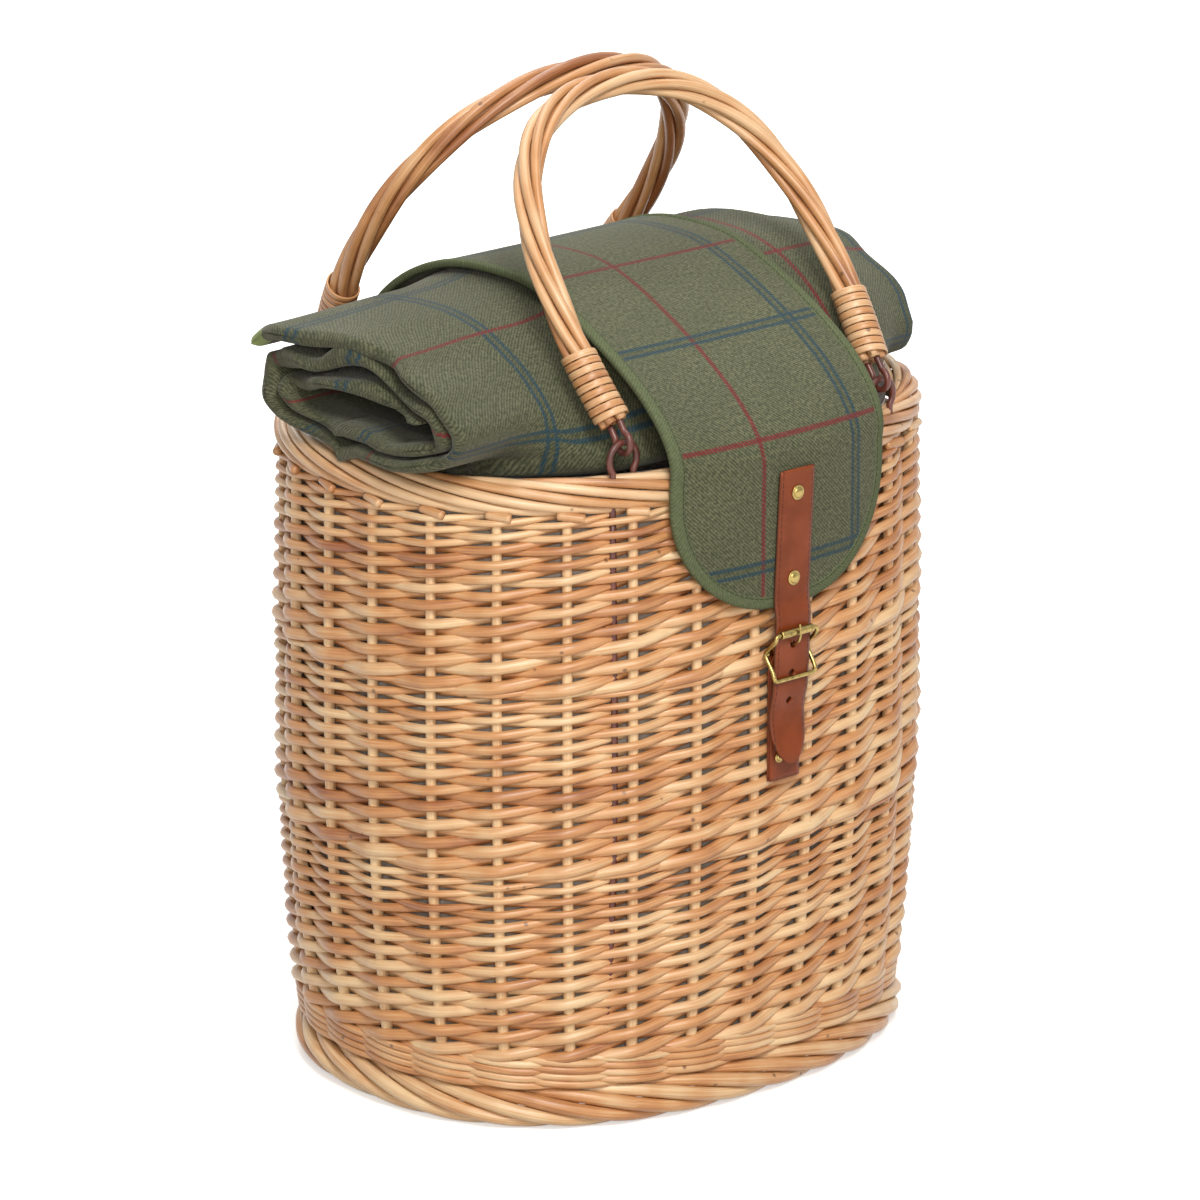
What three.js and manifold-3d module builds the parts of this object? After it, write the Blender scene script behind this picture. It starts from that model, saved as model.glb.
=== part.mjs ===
// Tall oval willow picnic basket: two swing handles on wire eyes, an insulated liner, a rolled
// blanket across the mouth, and a tweed flap over it that a leather strap closes in a brass buckle.
// Millimetres, +Z up. The origin is on the floor under the middle of the whole object.
// +X runs along the basket's length and the buckled front faces -Y.
import * as THREE from "three";
import { mergeVertices } from "three/addons/utils/BufferGeometryUtils.js";
import Module from "manifold-3d";

// Basket body
const BASKET_HEIGHT = 400;
const RIM_LENGTH = 400;
const RIM_DEPTH = 324;
const BELLY_SWELL = 2;
const BELLY_LENGTH = RIM_LENGTH + BELLY_SWELL;
const BELLY_DEPTH = RIM_DEPTH + BELLY_SWELL;
const BELLY_HEIGHT = 215;
const BASE_LENGTH = 370;
const BASE_DEPTH = 302;
const FOOT_PROJECTION = 6;
const PLAN_EXPONENT = 2.3;
const OVAL_SIDES = 40;
const WALL_SECTIONS = ["wall_lower", "wall_middle", "wall_upper"];
const WALL_THICKNESS = 10;
const STAKE_COUNT = 28;
const STAKE_X = -99;
const FLOATS_PER_STAKE = 11;
const FLOAT_TAPER = 0.75;
const WEAVE_DEPTH = 6;
const BORDER_HEIGHT = 28;
const BORDER_WIDTH = 21;
const BORDER_CORNER = 9;
const BORDER_OVERHANG = 1.5;
const FOOT_HEIGHT = 26;
const FOOT_WIDTH = 24;
const FOOT_CORNER = 8;
const WALE_HEIGHT = 18;
const WALE_WIDTH = 14;
const BASE_THICKNESS = 12;
const BASE_LIFT = 6;
const BASE_EDGE = 4;
const SEAT_GAP = 0.3;

// Insulated liner
const LINER_THICKNESS = 6;
const LINER_GAP = 0.5;
const LINER_SHOULDER = 14;
const LINER_DROP = 8;

// Handles and their wire eyes
const HANDLE_SPAN = 200;
const EYE_LIFT = 18;
const WIRE_RADIUS = 2.1;
const HAIRPIN_RADIUS = 8;
const EYE_RADIUS = 5;
const EYE_LENGTH = 12;
const WIRE_SIDES = 6;
const HAIRPIN_STEPS = 20;
const EYE_STEPS = 15;
const ROD_RADIUS = 3.4;
const ROD_COUNT = 5;
const ROD_TURNS = 2;
const ROD_SHOWN_ANGLE = 62;
const HANDLE_STEPS = 44;
const HANDLES = {
  front: { side: -1, lean: 36.5, rise: 212, bow: 17, bowHeight: 125, crownReach: 94 },
  rear: { side: 1, lean: 35, rise: 213, bow: 40, bowHeight: 138, crownReach: 84 },
};

// Skein winding at each handle end
const SKEIN_WIDTH = 3.9;
const SKEIN_THICKNESS = 1.2;
const SKEIN_PITCH = 4.7;
const SKEIN_TURNS = 9;
const SKEIN_STEPS = 10;
const SKEIN_CLEARANCE = 0.4;

// Rolled blanket
const ROLL_LENGTH = 378;
const ROLL_SHIFT = -11;
const ROLL_HEIGHT = 95;
const ROLL_FRONT_SETBACK = 32;
const ROLL_REAR_SETBACK = 52;
const ROLL_EXPONENT = 2.4;
const ROLL_FOOT_EXPONENT = 5;
const ROLL_LAYER = 10.5;
const ROLL_LAYER_GAP = 1.5;
const ROLL_TURNS = 2.6;
const ROLL_STEPS = 28;
const ROLL_TAIL_ANGLE = 14;

// Flap
const FLAP_WIDTH = 164;
const FLAP_THICKNESS = 3.5;
const FLAP_CORNER = 50;
const FLAP_DROP = 92;
const FLAP_TAIL = 32;
const FLAP_HINGE_SHARE = 0.34;
const FLAP_ON_ROLL = [66, 112];
const FLAP_REAR_PULL = [54, 45];
const FLAP_FRONT_PULL = [60, 60];
const FLAP_COLUMNS = 6;
const TAPE_WIDTH = 8;
const TAPE_THICKNESS = 5;
const CLOTH_GAP = 0.4;

// Closing strap, chape and buckle, with their heights as drops below the rim
const STRAP_WIDTH = 27;
const STRAP_THICKNESS = 2.2;
const STRAP_TOP_DROP = 10;
const STRAP_TIP_DROP = 190;
const STRAP_POINT = 22;
const STRAP_TIP_WIDTH = 4;
const STRAP_BEND = 17;
const STRAP_BEND_GAP = 5;
const HOLE_RADIUS = 2.2;
const HOLE_PITCH = 17;
const HOLE_COUNT = 4;
const RIVET_RADIUS = 5;
const RIVET_DOME = 2.2;
const RIVET_EDGE = 0.5;
const FLAP_RIVET_DROPS = { flap_rivet_upper: 24, flap_rivet_lower: 75 };
const CHAPE_WIDTH = 25;
const CHAPE_THICKNESS = 1.5;
const CHAPE_END_DROP = 198;
const CHAPE_SLANT = 5.7;
const CHAPE_FOLD = [-35, 215];
const CHAPE_SLOT = 3.4;
const CHAPE_RIVET_DROP = 184;
const CHAPE_RIVET_RADIUS = 3.2;
const CHAPE_RIVET_X = -10.5;
const BAR_RADIUS = 1.3;
const BUCKLE_DROP = 119;
const BUCKLE_UP = 13;
const BUCKLE_DOWN = 15;
const FRAME_SIDE_GAP = 1.2;
const FRAME_CORNER = 2.5;
const FRAME_STEPS = 44;
const ROLLER_BORE = 1.7;
const ROLLER_RADIUS = 2.5;
const TONGUE_RADIUS = 0.9;
const TONGUE_BORE = 1.6;
const TONGUE_OVERSHOOT = 5;
const TONGUE_TIP_TUCK = 1;
const TONGUE_HOLE_RISE = 4.4;

const wasm = await Module();
wasm.setup();

const { Vector2, Vector3 } = THREE;
const range = (count, make) => Array.from({ length: count }, (_, i) => make(i));
const mix = THREE.MathUtils.lerp;
const radians = THREE.MathUtils.degToRad;
const QUARTER_ARC = 0.5523;
const signedPower = (value, power) => Math.sign(value) * Math.abs(value) ** power;

// Materials, one for each stuff the basket is made of
const finish = (color, roughness, metalness = 0) => ({ color, roughness, metalness });
const WILLOW = finish(0xc99a63, 0.6);
const PALE_WILLOW = finish(0xd9b27c, 0.55);
const COATED_WIRE = finish(0x5b3029, 0.45);
const TWEED = finish(0x4f5743, 0.95);
const TWILL_TAPE = finish(0x5e6a47, 0.9);
const TAN_LEATHER = finish(0x8a4a28, 0.5);
const BRASS = finish(0xb79f55, 0.3, 1);
const LINER_CLOTH = finish(0x6f6a68, 0.8);

function piece(name, geometry, look) {
  const mesh = new THREE.Mesh(geometry, new THREE.MeshStandardMaterial(look));
  mesh.name = name;
  return mesh;
}

// A closed body from points and triangles, turned so that its faces point outwards.
function body(points, triangles) {
  const volume = triangles.reduce((sum, [a, b, c]) => {
    return sum + points[a].dot(new Vector3().crossVectors(points[b], points[c]));
  }, 0);
  const faces = volume < 0 ? triangles.map(([a, b, c]) => [a, c, b]) : triangles;
  const geometry = new THREE.BufferGeometry().setFromPoints(points);
  geometry.setIndex(faces.flat());
  return geometry;
}

// Triangles that close one flat loop of points.
function capTriangles(loop, first) {
  const normal = new Vector3();
  loop.forEach((p, i) => normal.add(new Vector3().crossVectors(p, loop[(i + 1) % loop.length])));
  normal.normalize();
  const guide = Math.abs(normal.x) < 0.6 ? new Vector3(1, 0, 0) : new Vector3(0, 1, 0);
  const across = new Vector3().crossVectors(guide, normal).normalize();
  const up = new Vector3().crossVectors(normal, across);
  const flat = loop.map((p) => new Vector2(p.dot(across), p.dot(up)));
  return THREE.ShapeUtils.triangulateShape(flat, []).map((t) => t.map((i) => i + first));
}

// A skin over a row of loops, joined end to end when the row is closed and capped when it isn't.
function loft(loops, closed = false) {
  const size = loops[0].length;
  const points = loops.flat();
  const triangles = [];
  range(closed ? loops.length : loops.length - 1, (i) => {
    const here = i * size;
    const next = ((i + 1) % loops.length) * size;
    range(size, (j) => {
      const k = (j + 1) % size;
      triangles.push([here + j, here + k, next + k], [here + j, next + k, next + j]);
    });
  });
  if (!closed) {
    const last = (loops.length - 1) * size;
    capTriangles(loops[0], 0).forEach(([a, b, c]) => triangles.push([a, c, b]));
    capTriangles(loops.at(-1), last).forEach((t) => triangles.push(t));
  }
  return body(points, triangles);
}

// A section carried along a curve, turned steadily by twist radians from end to end.
function sweep(curve, steps, section, { closed = false, twist = 0 } = {}) {
  const frames = curve.computeFrenetFrames(steps, closed);
  const loops = range(closed ? steps : steps + 1, (i) => {
    const centre = curve.getPointAt(i / steps);
    const turn = (twist * i) / steps;
    return section.map((p) => {
      const q = p.clone().rotateAround(new Vector2(), turn);
      return centre.clone().addScaledVector(frames.normals[i], q.x).addScaledVector(frames.binormals[i], q.y);
    });
  });
  return loft(loops, closed);
}

const round = (radius, sides) =>
  range(sides, (i) => new Vector2(radius, 0).rotateAround(new Vector2(), (2 * Math.PI * i) / sides));

// Boolean joins and cuts of closed bodies
function toSolid(geometry) {
  const bare = geometry.clone();
  bare.deleteAttribute("normal");
  bare.deleteAttribute("uv");
  const merged = mergeVertices(bare, 1e-4);
  const vertProperties = new Float32Array(merged.attributes.position.array);
  const triVerts = new Uint32Array(merged.index.array);
  return new wasm.Manifold(new wasm.Mesh({ numProp: 3, vertProperties, triVerts }));
}

function fromSolid(solid) {
  const mesh = solid.getMesh();
  const geometry = new THREE.BufferGeometry();
  geometry.setAttribute("position", new THREE.BufferAttribute(mesh.vertProperties, 3));
  geometry.setIndex(new THREE.BufferAttribute(mesh.triVerts, 1));
  return geometry;
}

const cut = (from, tools) => fromSolid(tools.reduce((s, t) => s.subtract(toSolid(t)), toSolid(from)));
const join = (parts) => fromSolid(parts.map(toSolid).reduce((a, b) => a.add(b)));
const common = (a, b) => fromSolid(toSolid(a).intersect(toSolid(b)));

// Outline in the YZ plane, carried along X and centred on x = 0.
function acrossX(outline, width) {
  const shape = new THREE.Shape(outline);
  const geometry = new THREE.ExtrudeGeometry(shape, { depth: width, bevelEnabled: false, curveSegments: 8 });
  geometry.translate(0, 0, -width / 2);
  const [x, y, z] = [new Vector3(1, 0, 0), new Vector3(0, 1, 0), new Vector3(0, 0, 1)];
  return geometry.applyMatrix4(new THREE.Matrix4().makeBasis(y, z, x));
}

// The oval plan: a superellipse of the given half sizes at one height.
function ovalPoint(turn, halfLength, halfDepth, z = 0) {
  const x = halfLength * signedPower(Math.cos(turn), 2 / PLAN_EXPONENT);
  const y = halfDepth * signedPower(Math.sin(turn), 2 / PLAN_EXPONENT);
  return new Vector3(x, y, z);
}

const oval = (z, halfLength, halfDepth) =>
  range(OVAL_SIDES, (i) => ovalPoint((2 * Math.PI * i) / OVAL_SIDES, halfLength, halfDepth, z));

const ovalDepthShare = (x, halfLength) =>
  (1 - Math.abs(x / halfLength) ** PLAN_EXPONENT) ** (1 / PLAN_EXPONENT);

// Outer half sizes of the woven wall: a parabola from the belly down to the base and up to the neck.
function wallHalf(z) {
  const low = z < BELLY_HEIGHT;
  const away = (z - BELLY_HEIGHT) / (low ? BELLY_HEIGHT : BASKET_HEIGHT - BELLY_HEIGHT);
  const length = low ? BASE_LENGTH : RIM_LENGTH - 2 * BORDER_OVERHANG;
  const depth = low ? BASE_DEPTH : RIM_DEPTH - 2 * BORDER_OVERHANG;
  return [mix(BELLY_LENGTH, length, away ** 2) / 2, mix(BELLY_DEPTH, depth, away ** 2) / 2];
}

function wallLoop(z, inset) {
  const [halfLength, halfDepth] = wallHalf(z);
  return oval(z, halfLength - inset, halfDepth - inset);
}

// A ring of fixed outer size whose rounded section is given as [inset, height] pairs.
const fixedRing = (halfLength, halfDepth, section) =>
  loft(section.map(([inset, z]) => oval(z, halfLength - inset, halfDepth - inset)), true);

// Rounded box section, flat below, as [inset, height] pairs.
function roundedSection(width, low, high, corner) {
  const arc = (inset, z, from) =>
    range(3, (i) => {
      const turn = radians(from + 45 * i);
      return [inset + corner * Math.cos(turn), z + corner * Math.sin(turn)];
    });
  return [
    [width - corner / 2, low],
    [width, low + corner / 2],
    ...arc(width - corner, high - corner, 0),
    ...arc(corner, high - corner, 90).slice(1),
    [0, low + corner / 2],
    [corner / 2, low],
  ];
}

const basket = new THREE.Group();
const FOOT_LENGTH = BASE_LENGTH + 2 * FOOT_PROJECTION;
const FOOT_DEPTH = BASE_DEPTH + 2 * FOOT_PROJECTION;
const WALL_LOW = FOOT_HEIGHT + SEAT_GAP + WALE_HEIGHT;
const WALL_HIGH = BASKET_HEIGHT - BORDER_HEIGHT;
const SECTION_HEIGHT = (WALL_HIGH - WALL_LOW) / WALL_SECTIONS.length;
const PIVOT_Z = BASKET_HEIGHT + EYE_LIFT;
const BORDER_MIDDLE = BORDER_WIDTH / 2;
const PIVOT_Y =
  (RIM_DEPTH / 2 - BORDER_MIDDLE) * ovalDepthShare(HANDLE_SPAN / 2, RIM_LENGTH / 2 - BORDER_MIDDLE);

// Angles of the stakes, spaced evenly round the rim from one that stands at the front
const STAKE_ANGLES = (() => {
  const fine = 2000;
  const at = (turn) => ovalPoint(turn, RIM_LENGTH / 2, RIM_DEPTH / 2);
  const turns = range(fine + 1, (i) => Math.PI + (2 * Math.PI * i) / fine);
  const run = [0];
  turns.slice(1).forEach((turn, i) => run.push(run[i] + at(turn).distanceTo(at(turns[i]))));
  const first = run[turns.findIndex((turn) => at(turn).x > STAKE_X)];
  return range(STAKE_COUNT, (i) => {
    const goal = (first + (run.at(-1) * i) / STAKE_COUNT) % run.at(-1);
    return turns[run.findIndex((length) => length >= goal)];
  });
})();

// One band of weaving. A rod starts at every stake and climbs to the right, in front of one stake and
// behind the next, so each second ring of points lies deep and the peaks between have no edge in common.
function wovenBand(low, high) {
  const rows = 2 * FLOATS_PER_STAKE;
  const ring = (z, inset) => {
    const [halfLength, halfDepth] = wallHalf(z);
    return STAKE_ANGLES.map((turn) => ovalPoint(turn, halfLength - inset, halfDepth - inset, z));
  };
  const rise = (row) => (1 - FLOAT_TAPER ** (row / rows)) / (1 - FLOAT_TAPER);
  const outer = range(rows + 1, (row) => ring(mix(low, high, rise(row)), row % 2 ? WEAVE_DEPTH : 0));
  const inner = [high, low].map((z) => ring(z, WALL_THICKNESS));
  const rings = [...outer, ...inner];
  const at = (row, stake) => (row % rings.length) * STAKE_COUNT + (stake % STAKE_COUNT);
  const triangles = rings.flatMap((_, row) =>
    range(STAKE_COUNT, (stake) => {
      const [a, b] = [at(row, stake), at(row, stake + 1)];
      const [d, c] = [at(row + 1, stake), at(row + 1, stake + 1)];
      const inside = row > 0 && row < rows - 1;
      if (inside && row % 2) {
        const above = at(row + 2, stake + 1);
        return [[a, b, c], [a, c, above], [a, above, d]];
      }
      return inside ? [[a, c, d]] : [[a, b, c], [a, c, d]];
    }).flat(),
  );
  return body(rings.flat(), triangles);
}

// Base, plaited foot, upset wale, the three rand sections of the wall
function addWalls() {
  const baseInset = FOOT_WIDTH + SEAT_GAP;
  const baseLoops = [
    [BASE_EDGE, BASE_LIFT],
    [0, BASE_LIFT + BASE_EDGE],
    [0, BASE_LIFT + BASE_THICKNESS - BASE_EDGE],
    [BASE_EDGE, BASE_LIFT + BASE_THICKNESS],
  ];
  const base = loft(
    baseLoops.map(([edge, z]) => {
      return oval(z, FOOT_LENGTH / 2 - baseInset - edge, FOOT_DEPTH / 2 - baseInset - edge);
    }),
  );
  basket.add(piece("woven_base", base, WILLOW));
  const foot = roundedSection(FOOT_WIDTH, 0, FOOT_HEIGHT, FOOT_CORNER);
  basket.add(piece("foot_border", fixedRing(FOOT_LENGTH / 2, FOOT_DEPTH / 2, foot), WILLOW));
  const waleLow = FOOT_HEIGHT + SEAT_GAP;
  const wale = loft(
    [
      wallLoop(waleLow, 0),
      wallLoop(WALL_LOW, 0),
      wallLoop(WALL_LOW, WALE_WIDTH),
      wallLoop(waleLow, WALE_WIDTH),
    ],
    true,
  );
  basket.add(piece("upset_wale", wale, WILLOW));
  WALL_SECTIONS.forEach((name, k) => {
    const low = WALL_LOW + k * SECTION_HEIGHT + SEAT_GAP;
    const high = WALL_LOW + (k + 1) * SECTION_HEIGHT - (k === WALL_SECTIONS.length - 1 ? SEAT_GAP : 0);
    basket.add(piece(name, wovenBand(low, high), WILLOW));
  });
}

// Where the four wire hairpins stand, by name
const wireNames = Object.entries(HANDLES).flatMap(([end, { side }]) =>
  [-1, 1].map((hand) => ({
    name: `${end}_${hand < 0 ? "left" : "right"}`,
    x: (hand * HANDLE_SPAN) / 2,
    y: side * PIVOT_Y,
  })),
);

// Rolled border with a socket for each leg of the wire hairpins
function addBorder() {
  const section = roundedSection(BORDER_WIDTH, WALL_HIGH, BASKET_HEIGHT, BORDER_CORNER);
  const ring = fixedRing(RIM_LENGTH / 2, RIM_DEPTH / 2, section);
  const socketRadius = WIRE_RADIUS + SEAT_GAP;
  const sockets = wireNames.flatMap(({ x, y }) =>
    [-1, 1].map((leg) => {
      const bore = new THREE.CylinderGeometry(socketRadius, socketRadius, 3 * BORDER_HEIGHT, 8);
      bore.rotateX(Math.PI / 2);
      return bore.translate(x + leg * HAIRPIN_RADIUS, y, BASKET_HEIGHT);
    }),
  );
  basket.add(piece("top_border", cut(ring, sockets), PALE_WILLOW));
}

// Open cup of padded cloth, narrowed to pass inside the rolled border
const LINER_NECK = BORDER_WIDTH + LINER_GAP;
const LINER_TOP = BASKET_HEIGHT - LINER_DROP;
function addLiner() {
  const floor = BASE_LIFT + BASE_THICKNESS + SEAT_GAP;
  const foot = FOOT_WIDTH + LINER_GAP;
  const side = Math.max(WALL_THICKNESS, WALE_WIDTH) + LINER_GAP;
  const sideLoop = (z, inset) => wallLoop(z, inset);
  const footLoop = (z, inset) => oval(z, FOOT_LENGTH / 2 - inset, FOOT_DEPTH / 2 - inset);
  const neckLoop = (z, inset) => oval(z, RIM_LENGTH / 2 - inset, RIM_DEPTH / 2 - inset);
  const shoulder = WALL_HIGH - LINER_SHOULDER;
  const rise = [BELLY_HEIGHT / 2, BELLY_HEIGHT, shoulder];
  const skin = (extra) => [
    footLoop(floor + extra, foot + extra),
    sideLoop(WALL_LOW + extra, side + extra),
    ...rise.map((z) => sideLoop(z, side + extra)),
    neckLoop(WALL_HIGH, LINER_NECK + extra),
    neckLoop(LINER_TOP, LINER_NECK + extra),
  ];
  basket.add(piece("liner", loft([...skin(0), ...skin(LINER_THICKNESS).reverse()]), LINER_CLOTH));
}

// Wire hairpins fixed in the border: two legs and a bow along X that carries a handle eye
function addHairpins() {
  const legFoot = WALL_HIGH + SEAT_GAP - PIVOT_Z;
  wireNames.forEach(({ name, x, y }) => {
    const path = new THREE.CurvePath();
    const left = new Vector3(-HAIRPIN_RADIUS, 0, -HAIRPIN_RADIUS);
    const right = new Vector3(HAIRPIN_RADIUS, 0, -HAIRPIN_RADIUS);
    const quarter = HAIRPIN_RADIUS * QUARTER_ARC;
    const top = new Vector3(0, 0, 0);
    const lift = new Vector3(0, 0, quarter);
    const reach = new Vector3(quarter, 0, 0);
    path.add(new THREE.LineCurve3(new Vector3(-HAIRPIN_RADIUS, 0, legFoot), left));
    path.add(new THREE.CubicBezierCurve3(left, left.clone().add(lift), top.clone().sub(reach), top));
    path.add(new THREE.CubicBezierCurve3(top, top.clone().add(reach), right.clone().add(lift), right));
    path.add(new THREE.LineCurve3(right, new Vector3(HAIRPIN_RADIUS, 0, legFoot)));
    const wire = sweep(path, HAIRPIN_STEPS, round(WIRE_RADIUS, WIRE_SIDES));
    const hairpin = piece(`hairpin_${name}`, wire, COATED_WIRE);
    hairpin.position.set(x, y, PIVOT_Z);
    basket.add(hairpin);
  });
}

// Section of the twisted handle: the outline of rods that touch side by side about a centre
const ROD_RING = ROD_RADIUS / Math.sin(Math.PI / ROD_COUNT);
const BUNDLE_RADIUS = ROD_RING + ROD_RADIUS;
function rodBundle() {
  const perRod = 3;
  return range(ROD_COUNT * perRod, (i) => {
    const rod = Math.floor(i / perRod);
    const around = ((i % perRod) - 1) * radians(ROD_SHOWN_ANGLE);
    const facing = (2 * Math.PI * rod) / ROD_COUNT;
    const spot = new Vector2(ROD_RING + ROD_RADIUS * Math.cos(around), ROD_RADIUS * Math.sin(around));
    return spot.rotateAround(new Vector2(), facing);
  });
}

// Half of a handle's centreline, from the eye up to the crown, in the handle's own plane
function handleHalf(hand, { rise, bow, bowHeight, crownReach }) {
  const tilt = (WIRE_RADIUS * bow) / (bowHeight - EYE_LENGTH);
  const end = new Vector3((hand * HANDLE_SPAN) / 2, 0, EYE_LENGTH + SEAT_GAP + tilt);
  const bowed = new Vector3(hand * (HANDLE_SPAN / 2 + bow), 0, bowHeight);
  const shoulder = new Vector3(hand * crownReach, 0, rise);
  return new THREE.CubicBezierCurve3(end, bowed, shoulder, new Vector3(0, 0, rise));
}

// Wire eye that hooks round the hairpin: a long U whose legs run up to the bound rods
function handleEye() {
  const path = new THREE.CurvePath();
  const quarter = EYE_RADIUS * QUARTER_ARC;
  const near = new Vector3(0, -EYE_RADIUS, 0);
  const far = new Vector3(0, EYE_RADIUS, 0);
  const low = new Vector3(0, 0, -EYE_RADIUS);
  const down = new Vector3(0, 0, -quarter);
  const along = new Vector3(0, quarter, 0);
  path.add(new THREE.LineCurve3(new Vector3(0, -EYE_RADIUS, EYE_LENGTH), near));
  path.add(new THREE.CubicBezierCurve3(near, near.clone().add(down), low.clone().sub(along), low));
  path.add(new THREE.CubicBezierCurve3(low, low.clone().add(along), far.clone().add(down), far));
  path.add(new THREE.LineCurve3(far, new Vector3(0, EYE_RADIUS, EYE_LENGTH)));
  return sweep(path, EYE_STEPS, round(WIRE_RADIUS, WIRE_SIDES));
}

// Flat skein wound round a handle end in one unbroken helix
function skeinWinding(half) {
  const length = half.getLength();
  const side = new Vector3(0, 1, 0);
  const inner = (BUNDLE_RADIUS + SKEIN_CLEARANCE) / Math.cos(Math.PI / SKEIN_STEPS);
  const centres = [];
  const loops = range(SKEIN_TURNS * SKEIN_STEPS + 1, (i) => {
    const share = (SKEIN_WIDTH / 2 + (SKEIN_PITCH * i) / SKEIN_STEPS) / length;
    const middle = half.getPointAt(share);
    const axis = half.getTangentAt(share);
    const other = new Vector3().crossVectors(axis, side);
    const turn = (2 * Math.PI * i) / SKEIN_STEPS;
    const out = side.clone().multiplyScalar(Math.cos(turn)).addScaledVector(other, Math.sin(turn));
    const spot = (along, radius) => middle.clone().addScaledVector(axis, along).addScaledVector(out, radius);
    centres.push(spot(0, inner + SKEIN_THICKNESS / 2));
    const edge = SKEIN_WIDTH / 2;
    const outer = inner + SKEIN_THICKNESS;
    return [spot(-edge, inner), spot(edge, inner), spot(edge, outer), spot(-edge, outer)];
  });
  const gap = leastGap(centres, SKEIN_STEPS) - SKEIN_WIDTH;
  return { geometry: loft(loops), gap };
}

// Least distance between points of a winding that are at least apart steps from each other
function leastGap(points, apart) {
  const fromEach = points.slice(0, -apart).map((p, i) => {
    return Math.min(...points.slice(i + apart).map((q) => p.distanceTo(q)));
  });
  return Math.min(...fromEach);
}

function addHandles() {
  Object.entries(HANDLES).forEach(([end, handle]) => {
    const swing = new THREE.Group();
    swing.position.set(0, handle.side * PIVOT_Y, PIVOT_Z);
    swing.rotation.x = handle.side * radians(handle.lean);
    const left = handleHalf(-1, handle);
    const right = handleHalf(1, handle);
    const centreline = new THREE.CurvePath();
    centreline.add(left);
    const { v0, v1, v2, v3 } = right;
    centreline.add(new THREE.CubicBezierCurve3(v3, v2, v1, v0));
    const rods = sweep(centreline, HANDLE_STEPS, rodBundle(), { twist: -ROD_TURNS * 2 * Math.PI });
    swing.add(piece(`handle_${end}`, rods, PALE_WILLOW));
    [left, right].forEach((half, k) => {
      const hand = k ? "right" : "left";
      const eye = piece(`eye_${end}_${hand}`, handleEye(), COATED_WIRE);
      eye.position.x = half.v0.x;
      swing.add(eye);
      const { geometry, gap } = skeinWinding(half);
      swing.add(piece(`binding_${end}_${hand}`, geometry, PALE_WILLOW));
      console.log(`binding_${end}_${hand}: least gap between turns ${gap.toFixed(2)} mm`);
    });
    basket.add(swing);
  });
}

// Rolled blanket: one strip wound as a flattened spiral. It lies between the handles' eyes, and its
// front leans back as the front handle does, over a squarer foot.
const ROLL_PITCH = ROLL_LAYER + ROLL_LAYER_GAP;
const windIn = (degrees) => (ROLL_PITCH * (degrees - ROLL_TAIL_ANGLE)) / 360;
const ROLL_DEPTH = 2 * PIVOT_Y - ROLL_FRONT_SETBACK - ROLL_REAR_SETBACK;
const ROLL_Y = (ROLL_FRONT_SETBACK - ROLL_REAR_SETBACK) / 2;
const ROLL_Z = BASKET_HEIGHT + SEAT_GAP + ROLL_HEIGHT / 2 - windIn(270);
const ROLL_SLOPE = Math.tan(radians(HANDLES.front.lean));

// A point of the winding's outer side at an angle from the rear, drawn in as the strip winds
function rollPoint(degrees, inset) {
  const turn = radians(degrees);
  const deep = inset + windIn(degrees);
  const underFront = Math.cos(turn) < 0 && Math.sin(turn) < 0;
  const power = 2 / (underFront ? ROLL_FOOT_EXPONENT : ROLL_EXPONENT);
  const y = (ROLL_DEPTH / 2 - deep) * signedPower(Math.cos(turn), power);
  const z = (ROLL_HEIGHT / 2 - deep) * signedPower(Math.sin(turn), power);
  const forward = Math.max(0, -y) / (ROLL_DEPTH / 2);
  return new Vector2(y + ROLL_SLOPE * z * forward, z);
}

function addRoll() {
  const count = Math.round(ROLL_TURNS * ROLL_STEPS);
  const side = (inset) =>
    range(count + 1, (i) => rollPoint(ROLL_TAIL_ANGLE + (360 * i) / ROLL_STEPS, inset));
  const strip = [...side(0), ...side(ROLL_LAYER).reverse()];
  const loops = [-ROLL_LENGTH / 2, ROLL_LENGTH / 2].map((x) =>
    strip.map(({ x: y, y: z }) => new Vector3(ROLL_SHIFT + x, ROLL_Y + y, ROLL_Z + z)),
  );
  basket.add(piece("blanket_roll", loft(loops), TWEED));
}

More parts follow.
